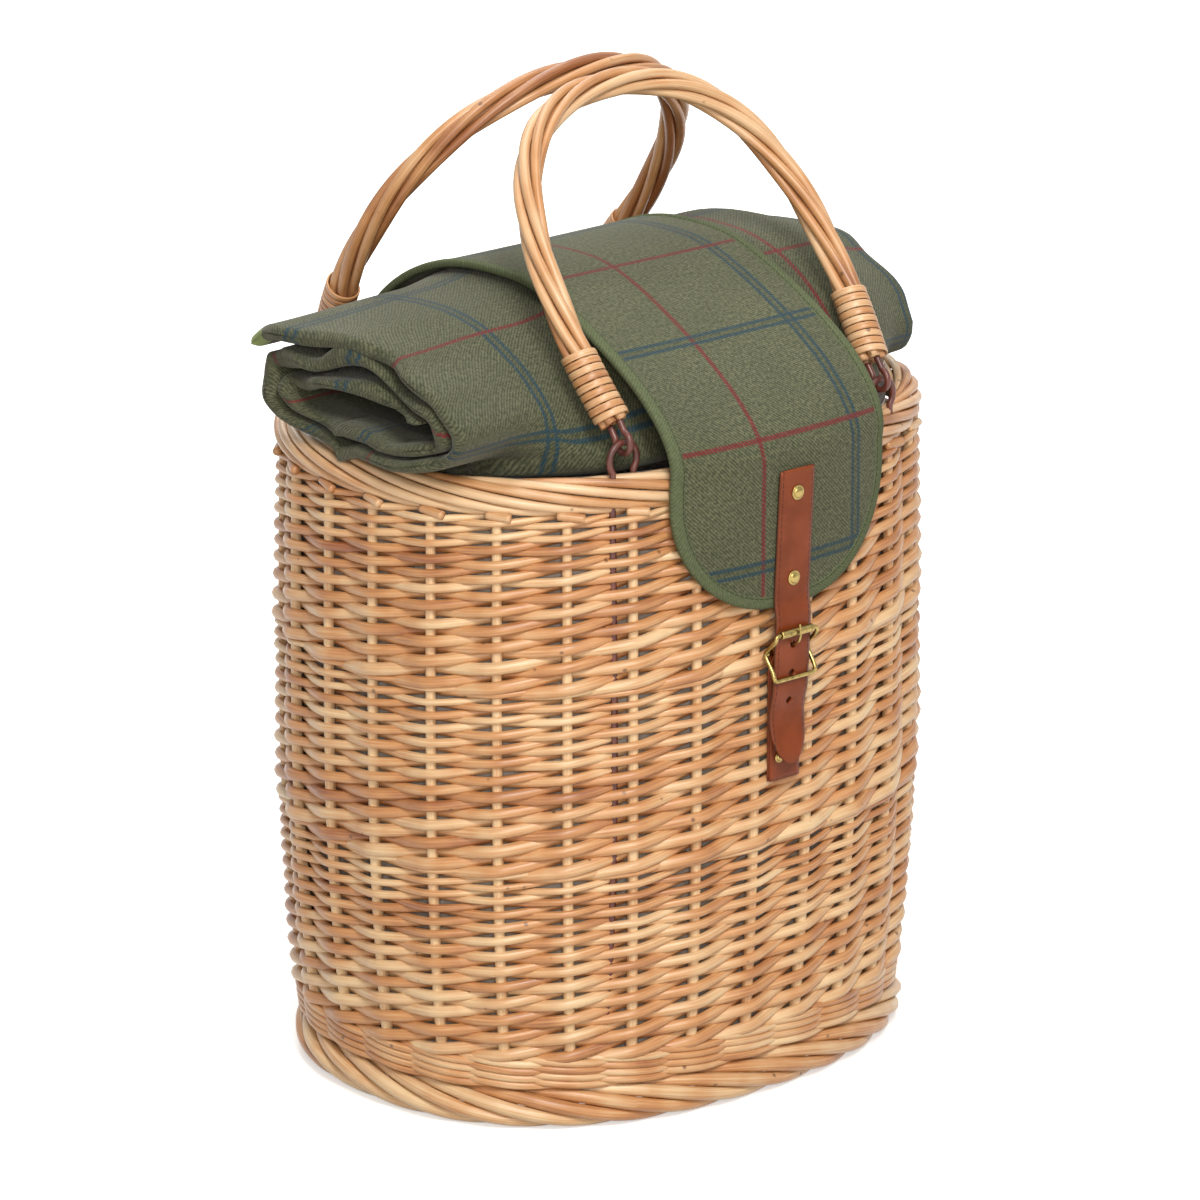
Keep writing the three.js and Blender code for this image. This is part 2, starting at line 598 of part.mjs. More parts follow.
// Flap: its middle surface runs from inside the liner's rear, over the roll, and down the front.
const FLAP_OFFSET = TAPE_THICKNESS / 2 + CLOTH_GAP;
const FLAP_BOTTOM = BASKET_HEIGHT - FLAP_DROP;
const FLAP_FRONT_Y = -(Math.max(RIM_DEPTH / 2, wallHalf(FLAP_BOTTOM)[1]) + FLAP_OFFSET);
const FLAP_REAR_Y = RIM_DEPTH / 2 - LINER_NECK - LINER_THICKNESS - FLAP_OFFSET - LINER_GAP;
function flapPath() {
  const over = (degrees) => {
    const p = rollPoint(degrees, -FLAP_OFFSET);
    return new Vector3(0, ROLL_Y + p.x, ROLL_Z + p.y);
  };
  const crown = range(6, (i) => over(mix(...FLAP_ON_ROLL, i / 5)));
  const leave = crown.at(-1);
  const rearTop = new Vector3(0, FLAP_REAR_Y, LINER_TOP);
  const brow = new Vector3(0, FLAP_FRONT_Y, BASKET_HEIGHT - BORDER_MIDDLE / 2);
  const slope = leave.clone().sub(crown.at(-2)).normalize();
  const rise = crown[0].clone().sub(crown[1]).normalize();
  const rear = new THREE.CubicBezierCurve3(
    rearTop,
    rearTop.clone().add(new Vector3(0, 0, FLAP_REAR_PULL[0])),
    crown[0].clone().addScaledVector(rise, FLAP_REAR_PULL[1]),
    crown[0],
  );
  const front = new THREE.CubicBezierCurve3(
    leave,
    leave.clone().addScaledVector(slope, FLAP_FRONT_PULL[0]),
    brow.clone().add(new Vector3(0, 0, FLAP_FRONT_PULL[1])),
    brow,
  );
  const hinge = front.getPoint(FLAP_HINGE_SHARE);
  const tail = new Vector3(0, FLAP_REAR_Y, LINER_TOP - FLAP_TAIL);
  const rearRun = range(7, (i) => rear.getPoint(i / 7));
  const browRun = range(3, (i) => front.getPoint((FLAP_HINGE_SHARE * (i + 1)) / 3));
  const frontRun = range(8, (i) => front.getPoint(mix(FLAP_HINGE_SHARE, 1, i / 7)));
  const hang = range(8, (i) => new Vector3(0, FLAP_FRONT_Y, mix(brow.z, FLAP_BOTTOM, (i + 1) / 8)));
  return { rear: [tail, ...rearRun, ...crown, ...browRun], front: [...frontRun, ...hang], hinge };
}
const FLAP = flapPath();

// The flap as a strip: distances along its path, and the place of a point beside the path.
function stripAlong(path) {
  const lengths = path.reduce((list, p, i) => [...list, i ? list[i - 1] + p.distanceTo(path[i - 1]) : 0], []);
  const total = lengths.at(-1);
  const at = (i) => path[THREE.MathUtils.clamp(i, 0, path.length - 1)].clone();
  const tangentAt = (i) => at(i + 1).sub(at(i - 1)).normalize();
  const place = (x, s, lift) => {
    const found = lengths.findIndex((l) => l >= s - 1e-6);
    const k = Math.max(1, found < 0 ? path.length - 1 : found);
    const share = (s - lengths[k - 1]) / (lengths[k] - lengths[k - 1]);
    const spot = at(k - 1).lerp(path[k], share);
    const along = tangentAt(k - 1).lerp(tangentAt(k), share).normalize();
    const out = new Vector3(0, along.z, -along.y).negate();
    spot.addScaledVector(out, lift);
    spot.x = x;
    spot.y *= 1 - hug(spot.z) * (1 - ovalDepthShare(x, spot.y < 0 ? FRONT_CURVE : REAR_CURVE));
    return spot;
  };
  return { lengths, total, place };
}

// How far the cloth follows the oval: fully below the rim, not at all above the roll's middle.
const FRONT_CURVE = Math.max(RIM_LENGTH, BELLY_LENGTH) / 2;
const REAR_CURVE = RIM_LENGTH / 2 - LINER_NECK - LINER_THICKNESS;
function hug(z) {
  return THREE.MathUtils.clamp((ROLL_Z - z) / (ROLL_Z - LINER_TOP), 0, 1);
}

// A cloth panel: rows across the path between the given half widths, with a top and a bottom skin
function panel(strip, rows, halfAt) {
  const loops = rows.map((s) => {
    const half = halfAt(s);
    const line = (lift) =>
      range(FLAP_COLUMNS + 1, (i) => strip.place(mix(-half, half, i / FLAP_COLUMNS), s, lift));
    return [...line(FLAP_THICKNESS / 2), ...line(-FLAP_THICKNESS / 2).reverse()];
  });
  return loft(loops);
}

// A tape of flat section that follows a line of [x, distance] points drawn inside the flap's edge
function tape(strip, edge) {
  const loops = edge.map(({ outer, inner }) =>
    [[outer, 1], [inner, 1], [inner, -1], [outer, -1]].map(([[x, s], side]) =>
      strip.place(x, s, (side * TAPE_THICKNESS) / 2),
    ),
  );
  return loft(loops);
}

function addFlap() {
  const inset = TAPE_WIDTH + SEAT_GAP;
  const half = FLAP_WIDTH / 2;
  const sideLine = (hand, rows) =>
    rows.map((s) => ({ outer: [hand * half, s], inner: [hand * (half - TAPE_WIDTH), s] }));
  const rear = stripAlong(FLAP.rear);
  basket.add(piece("flap_rear", panel(rear, rear.lengths, () => half - inset), TWEED));
  [-1, 1].forEach((hand) => {
    const edge = tape(rear, sideLine(hand, rear.lengths));
    basket.add(piece(`flap_rear_tape_${hand < 0 ? "left" : "right"}`, edge, TWILL_TAPE));
  });

  const front = stripAlong(FLAP.front);
  const end = front.total;
  const shrunk = FLAP_CORNER - inset;
  const panelHalf = (s) => {
    const corner = Math.max(0, FLAP_CORNER - (end - s));
    return half - FLAP_CORNER + Math.sqrt(Math.max(0, shrunk ** 2 - corner ** 2));
  };
  const straight = front.lengths.filter((s) => s < end - FLAP_CORNER - TAPE_WIDTH / 4 && s > 0);
  const turned = range(7, (i) => end - FLAP_CORNER + shrunk * Math.sin(radians(15 * i)));
  const rows = [SEAT_GAP, ...straight, ...turned];
  basket.add(piece("flap_front", panel(front, rows, panelHalf), TWEED));
  const sideRows = [SEAT_GAP, ...straight];
  const cornerLine = (hand) =>
    range(7, (i) => {
      const turn = radians(15 * i);
      const at = (radius) => [
        hand * (half - FLAP_CORNER + radius * Math.cos(turn)),
        end - FLAP_CORNER + radius * Math.sin(turn),
      ];
      return { outer: at(FLAP_CORNER), inner: at(FLAP_CORNER - TAPE_WIDTH) };
    });
  const bottomLine = range(5, (i) => {
    const x = mix(FLAP_CORNER - half, half - FLAP_CORNER, (i + 1) / 6);
    return { outer: [x, end], inner: [x, end - TAPE_WIDTH] };
  });
  const edge = [
    ...sideLine(-1, sideRows),
    ...cornerLine(-1),
    ...bottomLine,
    ...cornerLine(1).reverse(),
    ...sideLine(1, sideRows).reverse(),
  ];
  basket.add(piece("flap_front_tape", tape(front, edge), TWILL_TAPE));
}

// Layers in front of the wall, from the wall outwards
const WALL_FRONT = -BELLY_DEPTH / 2;
const BAR_Y = WALL_FRONT - CLOTH_GAP - TONGUE_BORE - 2 * TONGUE_RADIUS;
const CHAPE_BORE = BAR_RADIUS + SEAT_GAP;
const BUCKLE_HEIGHT = BASKET_HEIGHT - BUCKLE_DROP;
const STRAP_TOP = BASKET_HEIGHT - STRAP_TOP_DROP;
const STRAP_TIP = BASKET_HEIGHT - STRAP_TIP_DROP;
const CHAPE_END = BASKET_HEIGHT - CHAPE_END_DROP;
const STRAP_OVER_BAR = BAR_Y - TONGUE_BORE - 2 * TONGUE_RADIUS - CLOTH_GAP - STRAP_THICKNESS / 2;
const STRAP_OVER_FLAP = FLAP_FRONT_Y - FLAP_OFFSET - STRAP_THICKNESS / 2;
const ROLLER_Y = STRAP_OVER_BAR - STRAP_THICKNESS / 2 - CLOTH_GAP - ROLLER_RADIUS;
const ROLLER_Z = BUCKLE_HEIGHT + BUCKLE_UP;
const LOWER_Y = STRAP_OVER_BAR - STRAP_THICKNESS / 2 - CLOTH_GAP - BAR_RADIUS;
const LOWER_Z = BUCKLE_HEIGHT - BUCKLE_DOWN;
const TONGUE_HOLE_Z = BUCKLE_HEIGHT + TONGUE_HOLE_RISE;
const TONGUE_REST_Y = ROLLER_Y - ROLLER_RADIUS - SEAT_GAP - TONGUE_RADIUS;

// A flat band of even thickness along a line in the YZ plane, as a closed outline
function bandOutline(line, thickness) {
  const normalAt = (i) => {
    const along = line[Math.min(i + 1, line.length - 1)].clone().sub(line[Math.max(i - 1, 0)]).normalize();
    return new Vector2(along.y, -along.x);
  };
  const side = (lift) => line.map((p, i) => p.clone().addScaledVector(normalAt(i), lift));
  return [...side(thickness / 2), ...side(-thickness / 2).reverse()];
}

// Leather strap: flat on the flap, out over the buckle's bar, and back to its pointed tip
function addStrap() {
  const ease = (share) => (1 - Math.cos(Math.PI * share)) / 2;
  const shift = (from, y0, y1) =>
    range(7, (i) => new Vector2(mix(y0, y1, ease(i / 6)), from - (STRAP_BEND * i) / 6));
  const bendAbove = ROLLER_Z + STRAP_BEND_GAP + STRAP_BEND;
  const bendBelow = LOWER_Z - STRAP_BEND_GAP;
  const line = [
    new Vector2(STRAP_OVER_FLAP, STRAP_TOP),
    ...shift(bendAbove, STRAP_OVER_FLAP, STRAP_OVER_BAR),
    ...shift(bendBelow, STRAP_OVER_BAR, STRAP_OVER_FLAP),
    new Vector2(STRAP_OVER_FLAP, STRAP_TIP),
  ];
  const half = STRAP_WIDTH / 2;
  const outline = new THREE.Shape();
  const tip = STRAP_TIP_WIDTH / 2;
  const cheek = STRAP_TIP + STRAP_POINT / 3;
  outline.moveTo(-half, STRAP_TOP + STRAP_THICKNESS);
  outline.lineTo(-half, STRAP_TIP + STRAP_POINT);
  outline.quadraticCurveTo(-half / 2, cheek, -tip, STRAP_TIP + SEAT_GAP);
  outline.lineTo(tip, STRAP_TIP + SEAT_GAP);
  outline.quadraticCurveTo(half / 2, cheek, half, STRAP_TIP + STRAP_POINT);
  outline.lineTo(half, STRAP_TOP + STRAP_THICKNESS);
  outline.closePath();
  range(HOLE_COUNT, (i) => {
    const hole = new THREE.Path();
    hole.absarc(0, TONGUE_HOLE_Z - i * HOLE_PITCH, HOLE_RADIUS, 0, 2 * Math.PI, true);
    outline.holes.push(hole);
  });
  const depth = -2 * STRAP_OVER_BAR;
  const flat = new THREE.ExtrudeGeometry(outline, { depth, bevelEnabled: false, curveSegments: 6 });
  flat.rotateX(Math.PI / 2);
  const band = acrossX(bandOutline(line, STRAP_THICKNESS), STRAP_WIDTH + STRAP_THICKNESS);
  basket.add(piece("closing_strap", common(band, flat), TAN_LEATHER));
}

// Chape: one strip of leather folded round the buckle's bar, with a slot for the tongue
function addChape() {
  const back = WALL_FRONT - CLOTH_GAP - CHAPE_THICKNESS / 2;
  const front = back - CHAPE_THICKNESS - SEAT_GAP;
  const radius = CHAPE_BORE + CHAPE_THICKNESS / 2;
  const throat = BUCKLE_HEIGHT - 2.5 * radius;
  const loop = range(9, (i) => {
    const turn = radians(mix(...CHAPE_FOLD, i / 8));
    return new Vector2(BAR_Y + radius * Math.cos(turn), BUCKLE_HEIGHT + radius * Math.sin(turn));
  });
  const line = [
    new Vector2(back, CHAPE_END),
    new Vector2(back, throat),
    ...loop,
    new Vector2(front, throat),
    new Vector2(front, CHAPE_END),
  ];
  const strip = acrossX(bandOutline(line, CHAPE_THICKNESS), CHAPE_WIDTH);
  const slot = new THREE.BoxGeometry(CHAPE_SLOT, 4 * radius, 6 * radius);
  slot.translate(0, BAR_Y, BUCKLE_HEIGHT + radius);
  const chape = cut(strip, [slot]);
  const spots = chape.attributes.position;
  const slant = Math.tan(radians(CHAPE_SLANT));
  range(spots.count, (i) => {
    spots.setX(i, spots.getX(i) - slant * Math.max(0, throat - spots.getZ(i)));
  });
  basket.add(piece("chape", chape, TAN_LEATHER));
  const rivet = domeRivet(CHAPE_RIVET_RADIUS);
  const rivetBack = front - CHAPE_THICKNESS / 2 - SEAT_GAP;
  rivet.translate(CHAPE_RIVET_X, rivetBack, BASKET_HEIGHT - CHAPE_RIVET_DROP);
  basket.add(piece("chape_rivet", rivet, BRASS));
}

// Low domed rivet head facing -Y, its flat side at y = 0
function domeRivet(radius) {
  const dome = range(5, (i) => {
    const turn = radians(22.5 * i);
    return new Vector2(radius * Math.cos(turn), mix(RIVET_EDGE, RIVET_DOME, Math.sin(turn)));
  });
  dome.at(-1).x = 0;
  const head = new THREE.LatheGeometry([new Vector2(0, 0), new Vector2(radius, 0), ...dome], 14);
  return head.rotateX(Math.PI);
}

function addFlapRivets() {
  Object.entries(FLAP_RIVET_DROPS).forEach(([name, drop]) => {
    const rivet = domeRivet(RIVET_RADIUS);
    rivet.translate(0, STRAP_OVER_FLAP - STRAP_THICKNESS / 2 - SEAT_GAP, BASKET_HEIGHT - drop);
    basket.add(piece(name, rivet, BRASS));
  });
}

// Straight bar along X
function barX(radius, length, y, z, sides = 8) {
  const bar = new THREE.CylinderGeometry(radius, radius, length, sides);
  return bar.rotateZ(Math.PI / 2).translate(0, y, z);
}

// Centre-bar buckle: an arched wire frame, a loose roller on its upper bar, and the tongue
function addBuckle() {
  const side = STRAP_WIDTH / 2 + FRAME_SIDE_GAP + BAR_RADIUS;
  const corner = FRAME_CORNER;
  const end = side - corner - FRAME_SIDE_GAP;
  const spot = (x, y, z) => new Vector3(x, y, z);
  // One quarter of the frame, from the middle of a cross bar, round its corner, back to the centre bar
  const quarter = (hand, y, z) => {
    const inward = Math.sign(BUCKLE_HEIGHT - z) * corner;
    const turned = spot(hand * side, y, z + inward);
    const straight = spot(hand * (side - corner), y, z);
    const bend = new THREE.QuadraticBezierCurve3(straight, spot(hand * side, y, z), turned);
    const arm = new THREE.CubicBezierCurve3(
      turned,
      spot(hand * side, y, z + 2 * inward),
      spot(hand * side, BAR_Y, BUCKLE_HEIGHT - inward),
      spot(hand * side, BAR_Y, BUCKLE_HEIGHT),
    );
    return [spot(hand * end, y, z), ...bend.getPoints(2), ...arm.getPoints(3).slice(1)];
  };
  const crossBar = (y, z) => [
    ...quarter(-1, y, z).reverse(),
    spot(0, y, z),
    ...quarter(1, y, z).slice(0, -1),
  ];
  const loop = new THREE.CatmullRomCurve3(
    [...crossBar(LOWER_Y, LOWER_Z), ...crossBar(ROLLER_Y, ROLLER_Z).map((p) => p.setX(-p.x))],
    true,
    "centripetal",
  );
  const frame = join([
    sweep(loop, FRAME_STEPS, round(BAR_RADIUS, 6), { closed: true }),
    barX(BAR_RADIUS, 2 * side, BAR_Y, BUCKLE_HEIGHT),
  ]);
  basket.add(piece("buckle_frame", frame, BRASS));
  const section = [
    [ROLLER_RADIUS, -end],
    [ROLLER_RADIUS, end],
    [ROLLER_BORE, end],
    [ROLLER_BORE, -end],
    [ROLLER_RADIUS, -end],
  ];
  const roller = new THREE.LatheGeometry(section.map(([r, along]) => new Vector2(r, along)), 12);
  roller.rotateZ(Math.PI / 2).translate(0, ROLLER_Y, ROLLER_Z);
  basket.add(piece("buckle_roller", roller, BRASS));
  addTongue();
}

function addTongue() {
  const eyeRadius = TONGUE_BORE + TONGUE_RADIUS;
  const eye = new THREE.TorusGeometry(eyeRadius, TONGUE_RADIUS, 6, 12);
  eye.rotateY(Math.PI / 2).translate(0, BAR_Y, BUCKLE_HEIGHT);
  const rest = TONGUE_REST_Y;
  const slant = eyeRadius * Math.SQRT1_2;
  const shank = new THREE.CatmullRomCurve3([
    new Vector3(0, BAR_Y - slant, BUCKLE_HEIGHT + slant),
    new Vector3(0, STRAP_OVER_BAR, TONGUE_HOLE_Z),
    new Vector3(0, mix(STRAP_OVER_BAR, rest, 0.75), mix(TONGUE_HOLE_Z, ROLLER_Z, 0.35)),
    new Vector3(0, rest, ROLLER_Z),
    new Vector3(0, rest + TONGUE_TIP_TUCK, ROLLER_Z + TONGUE_OVERSHOOT),
  ]);
  const tongue = join([eye, sweep(shank, 10, round(TONGUE_RADIUS, 6))]);
  basket.add(piece("buckle_tongue", tongue, BRASS));
}

addWalls();
addBorder();
addLiner();
addHairpins();
addHandles();
addRoll();
addFlap();
addStrap();
addChape();
addFlapRivets();
addBuckle();

// The oval stands a little behind the origin, so that the whole object with its buckle is centred
const FRONT_REACH = TONGUE_RADIUS - TONGUE_REST_Y;
basket.position.y = (FRONT_REACH - BELLY_DEPTH / 2) / 2;
const picnicBasket = new THREE.Group();
picnicBasket.add(basket);

export default picnicBasket;
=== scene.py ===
"""Tall oval willow picnic basket: its looks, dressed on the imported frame.

Rods, wire, cloth, leather and brass are surfaces worked out with numpy, in metres and in the frame's
own axes: +Z up, +X along the length of the oval, and the buckled front facing -Y.
"""

import logging
import math
from collections.abc import Callable
from dataclasses import dataclass
from enum import Enum
from functools import partial

import bpy
import numpy as np
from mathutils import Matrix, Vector

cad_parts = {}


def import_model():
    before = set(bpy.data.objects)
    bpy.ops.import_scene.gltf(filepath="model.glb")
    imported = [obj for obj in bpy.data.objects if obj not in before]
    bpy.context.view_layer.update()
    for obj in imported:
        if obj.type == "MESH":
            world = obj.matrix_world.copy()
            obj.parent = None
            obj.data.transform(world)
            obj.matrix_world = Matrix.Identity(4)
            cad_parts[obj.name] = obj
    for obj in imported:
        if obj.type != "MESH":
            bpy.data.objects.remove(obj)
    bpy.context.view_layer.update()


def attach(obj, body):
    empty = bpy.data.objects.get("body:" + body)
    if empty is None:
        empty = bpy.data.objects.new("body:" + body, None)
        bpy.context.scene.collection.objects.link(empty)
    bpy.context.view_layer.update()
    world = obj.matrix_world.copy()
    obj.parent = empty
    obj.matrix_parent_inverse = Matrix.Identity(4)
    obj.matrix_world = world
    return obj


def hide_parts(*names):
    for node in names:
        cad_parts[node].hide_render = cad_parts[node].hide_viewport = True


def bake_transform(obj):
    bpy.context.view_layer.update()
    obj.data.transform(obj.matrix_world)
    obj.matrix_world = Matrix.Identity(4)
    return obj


LOG = logging.getLogger("basket")
MM = 0.001
TURN = 2 * math.pi
# The oval stands this far behind the origin, which is under the middle of the whole object.
OVAL_Y = 8.65 * MM
ASIDE = np.array([1.0, 0, 0])
BACK = np.array([0, 1.0, 0])
UP = np.array([0, 0, 1.0])
Array = np.ndarray
Material = bpy.types.Material
Socket = bpy.types.NodeSocket
Add = Callable[..., Socket]
Layers = list[tuple[Socket, str]]
Inputs = dict[str, Socket | float]


class Slot(Enum):
    """The record's material slots."""

    WILLOW = "willow"
    PALE_WILLOW = "pale_willow"
    WIRE = "coated_wire"
    TWEED = "tweed"
    TAPE = "twill_tape"
    LINER = "liner_cloth"
    LEATHER = "tan_leather"
    BRASS = "brass"


class End(Enum):
    """The two long sides of the basket, with the sign of their Y."""

    FRONT = -1
    REAR = 1


# Surfaces


@dataclass
class Skin:
    """A batch of grids of points that become quads, with caps at the ends of open ones.

    points is (strips, rows, columns, 3). Each row is a closed section, and closed_rows joins the last
    row to the first. uv is in metres and has one more row or column than points wherever the grid
    closes on itself. tone is a brightness from 0 to 1 for each strip and row.
    """

    points: Array
    uv: Array
    tone: Array
    closed_rows: bool = False

    def faces(self, first: int) -> tuple[list[list[int]], Array]:
        """Works out the faces and the UV of each face corner.

        Args:
            first: Index of this skin's first vertex in the mesh.

        Returns:
            The faces as lists of vertex indices, and their corners' UVs in the same order.
        """
        strips, rows, columns, _ = self.points.shape
        i = np.arange(rows if self.closed_rows else rows - 1)[:, None]
        j = np.arange(columns)[None, :]
        corners = [(i, j), (i, j + 1), (i + 1, j + 1), (i + 1, j)]
        index = np.stack([(a % rows) * columns + b % columns for a, b in corners], axis=-1)
        start = first + np.arange(strips)[:, None, None, None] * rows * columns
        quads = (start + index).reshape(-1, 4)
        uv = np.stack([self.uv[:, a, b] for a, b in corners], axis=-2).reshape(-1, 2)
        faces = quads.tolist()
        if not self.closed_rows:
            around = np.arange(columns)
            ring = first + np.arange(strips)[:, None] * rows * columns
            low = ring + around[::-1]
            high = ring + (rows - 1) * columns + around
            faces += np.concatenate([low, high]).tolist()
            ends = [self.uv[:, 0, :columns][:, ::-1], self.uv[:, rows - 1, :columns]]
            uv = np.concatenate([uv, *[e.reshape(-1, 2) for e in ends]])
        return faces, uv


def unit(vectors: Array) -> Array:
    """Vectors of length one along the last axis."""
    return vectors / np.maximum(np.linalg.norm(vectors, axis=-1, keepdims=True), 1e-12)


def signed_power(value: Array, power: float) -> Array:
    """A power of the size of value that keeps its sign."""
    return np.sign(value) * np.abs(value) ** power


def smooth(edge0: float, edge1: float, value: Array) -> Array:
    """A smooth step from 0 at edge0 to 1 at edge1."""
    share = np.clip((value - edge0) / (edge1 - edge0), 0, 1)
    return share * share * (3 - 2 * share)


def circle(count: int) -> Array:
    """The angles of count points spaced evenly round a circle."""
    return TURN * np.arange(count) / count


def quarter(count: int) -> Array:
    """Count angles from 0 to a quarter of a turn."""
    return np.linspace(0, math.pi / 2, count)


def tubes(
    paths: Array, radii: Array, sides: int, guide: Array, tone: Array | float = 0.5, closed: bool = False
) -> Skin:
    """Round rods along paths: each ring is centre + r (cos a N + sin a B), square to the path.

    Args:
        paths: Centre lines as (strips, points, 3).
        radii: Radius at each point, (strips, points) or anything that broadcasts to it.
        sides: Points round each ring.
        guide: A direction that no part of the paths runs along.
        tone: Brightness, (strips, points) or anything that broadcasts to it.
        closed: Whether each path closes on itself.

    Returns:
        The rods as one skin, with U along and V round each rod.
    """
    if closed:
        along = np.roll(paths, -1, axis=1) - np.roll(paths, 1, axis=1)
    else:
        along = np.gradient(paths, axis=1)
    along = unit(along)
    side = unit(np.cross(np.broadcast_to(guide, along.shape), along))
    other = np.cross(along, side)
    angle = circle(sides)
    radii = np.broadcast_to(radii, paths.shape[:2])
    ring = np.cos(angle)[:, None] * side[:, :, None] + np.sin(angle)[:, None] * other[:, :, None]
    points = paths[:, :, None] + radii[:, :, None, None] * ring
    again = np.concatenate([paths, paths[:, :1]], axis=1) if closed else paths
    steps = np.linalg.norm(np.diff(again, axis=1), axis=-1)
    run = np.concatenate([np.zeros((len(paths), 1)), np.cumsum(steps, axis=1)], axis=1)
    girth = TURN * float(radii.mean()) * np.arange(sides + 1) / sides
    uv = np.stack(np.broadcast_arrays(run[:, :, None], girth[None, None]), axis=-1)
    return Skin(points, uv, np.broadcast_to(tone, paths.shape[:2]), closed)


def sweep(points: Array, u: Array, v: Array, closed_rows: bool = False) -> Skin:
    """One grid of points with a closed section in its columns.

    Args:
        points: (rows, columns, 3).
        u: Distance along for each point, (rows, columns) or anything that broadcasts to it.
        v: Distance across for each point, likewise.
        closed_rows: Whether the rows close on themselves too.

    Returns:
        The grid as a skin.
    """
    shape = points.shape[:2]
    uv = np.stack([np.broadcast_to(u, shape), np.broadcast_to(v, shape)], axis=-1)
    uv = np.concatenate([uv, uv[:, :1]], axis=1)
    if closed_rows:
        uv = np.concatenate([uv, uv[:1]], axis=0)
    return Skin(points[None], uv[None], np.full((1, shape[0]), 0.5), closed_rows)


def catmull(points: Array, steps: int, closed: bool = False) -> Array:
    """A Catmull-Rom curve through points, with steps points between each pair.

    Args:
        points: (count, 3) or (count, 2).
        steps: Points for each span.
        closed: Whether the curve closes on itself.

    Returns:
        The curve's points.
    """
    if closed:
        knots = np.concatenate([points[-1:], points, points[:2]])
    else:
        knots = np.concatenate([2 * points[:1] - points[1:2], points, 2 * points[-1:] - points[-2:-1]])
    t = (np.arange(steps) / steps)[None, :, None]
    p0, p1, p2, p3 = (knots[k : len(knots) - 3 + k][:, None] for k in range(4))
    curve = p1 + 0.5 * t * (p2 - p0 + t * (2 * p0 - 5 * p1 + 4 * p2 - p3 + t * (3 * (p1 - p2) + p3 - p0)))
    curve = curve.reshape(-1, points.shape[1])
    return curve if closed else np.concatenate([curve, points[-1:]])


def bezier(corners: Array, count: int) -> Array:
    """A cubic Bezier curve: its corners weighted by the powers of t and 1 - t.

    Args:
        corners: The curve's four corners, (4, n).
        count: Number of points.

    Returns:
        The points, (count, n).
    """
    t = np.linspace(0, 1, count)[:, None]
    weights = [(1 - t) ** 3, 3 * t * (1 - t) ** 2, 3 * t * t * (1 - t), t**3]
    return sum(w * c for w, c in zip(weights, corners))


def run_along(path: Array) -> Array:
    """Distance along a path, (count, n), from its first point to each of its points."""
    return np.concatenate([[0], np.cumsum(np.linalg.norm(np.diff(path, axis=0), axis=1))])


def walk(path: Array, spots: Array) -> Array:
    """The points of a path, (count, n), at distances along it."""
    return np.stack([np.interp(spots, run_along(path), column) for column in path.T], axis=1)


def even(path: Array, count: int) -> Array:
    """The same path, (any number, n), with count points spaced evenly along it."""
    return walk(path, np.linspace(0, run_along(path)[-1], count))


def mesh_object(name: str, skins: list[Skin], material: Material) -> bpy.types.Object:
    """Puts skins into one mesh object at the origin, smooth shaded, with its UVs and tone.

    Args:
        name: The object's name.
        skins: Surfaces in metres, in the frame's axes but about the middle of the oval.
        material: What the object is made of.

    Returns:
        The new object, linked to the scene.
    """
    faces: list[list[int]] = []
    uvs, first = [], 0
    for skin in skins:
        made, uv = skin.faces(first)
        faces += made
        uvs.append(uv)
        first += skin.points.size // 3
    mesh = bpy.data.meshes.new(name)
    points = np.concatenate([s.points.reshape(-1, 3) for s in skins]) + [0, OVAL_Y, 0]
    mesh.from_pydata(points.tolist(), [], faces)
    layer = mesh.uv_layers.new(name="cut")
    layer.data.foreach_set("uv", np.concatenate(uvs).astype(np.float32).ravel())
    tone = mesh.attributes.new("tone", "FLOAT", "POINT")
    shades = [np.repeat(s.tone[:, :, None], s.points.shape[2], axis=2).ravel() for s in skins]
    tone.data.foreach_set("value", np.concatenate(shades).astype(np.float32))
    mesh.polygons.foreach_set("use_smooth", np.ones(len(faces), dtype=bool))
    mesh.materials.append(material)
    mesh.update()
    made_object = bpy.data.objects.new(name, mesh)
    bpy.context.scene.collection.objects.link(made_object)
    LOG.info("%s: %d faces", name, len(faces))
    return made_object


def dress(piece: bpy.types.Object, body: str, slot: Slot, *nodes: str) -> bpy.types.Object:
    """Makes a piece ride on a body and stand for nodes.

    Args:
        piece: The piece to place.
        body: The body that carries it.
        slot: The record's material slot; not used.
        nodes: Nodes that the piece stands for.

    Returns:
        The piece.
    """
    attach(piece, body)
    if nodes:
        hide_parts(*nodes)
    return piece


# Finishes


def linear(code: str) -> tuple[float, float, float, float]:
    """An sRGB hex colour such as #C99A63 as linear RGBA.

    Args:
        code: The colour as # and six hex digits.

    Returns:
        Linear red, green and blue, and an alpha of 1.
    """
    parts = [int(code[i : i + 2], 16) / 255 for i in (1, 3, 5)]
    red, green, blue = (c / 12.92 if c <= 0.04045 else ((c + 0.055) / 1.055) ** 2.4 for c in parts)
    return red, green, blue, 1.0


def add_node(
    tree: bpy.types.NodeTree, kind: str, inputs: dict | tuple = (), pick: int | str = 0, **settings: str
) -> Socket | None:
    """Adds a shader node, sets it and links it.

    Args:
        tree: The node tree.
        kind: The node's type name without its ShaderNode prefix.
        inputs: Values, or output sockets to link, in socket order or by socket name or number.
        pick: The output to return, by name or number.
        settings: Properties of the node.

    Returns:
        That output, or None from a node that has no outputs.
    """
    made = tree.nodes.new("ShaderNode" + kind)
    for key, value in settings.items():
        setattr(made, key, value)
    for key, value in inputs.items() if isinstance(inputs, dict) else enumerate(inputs):
        if isinstance(value, Socket):
            tree.links.new(value, made.inputs[key])
        else:
            made.inputs[key].default_value = value
    return made.outputs[pick] if made.outputs else None


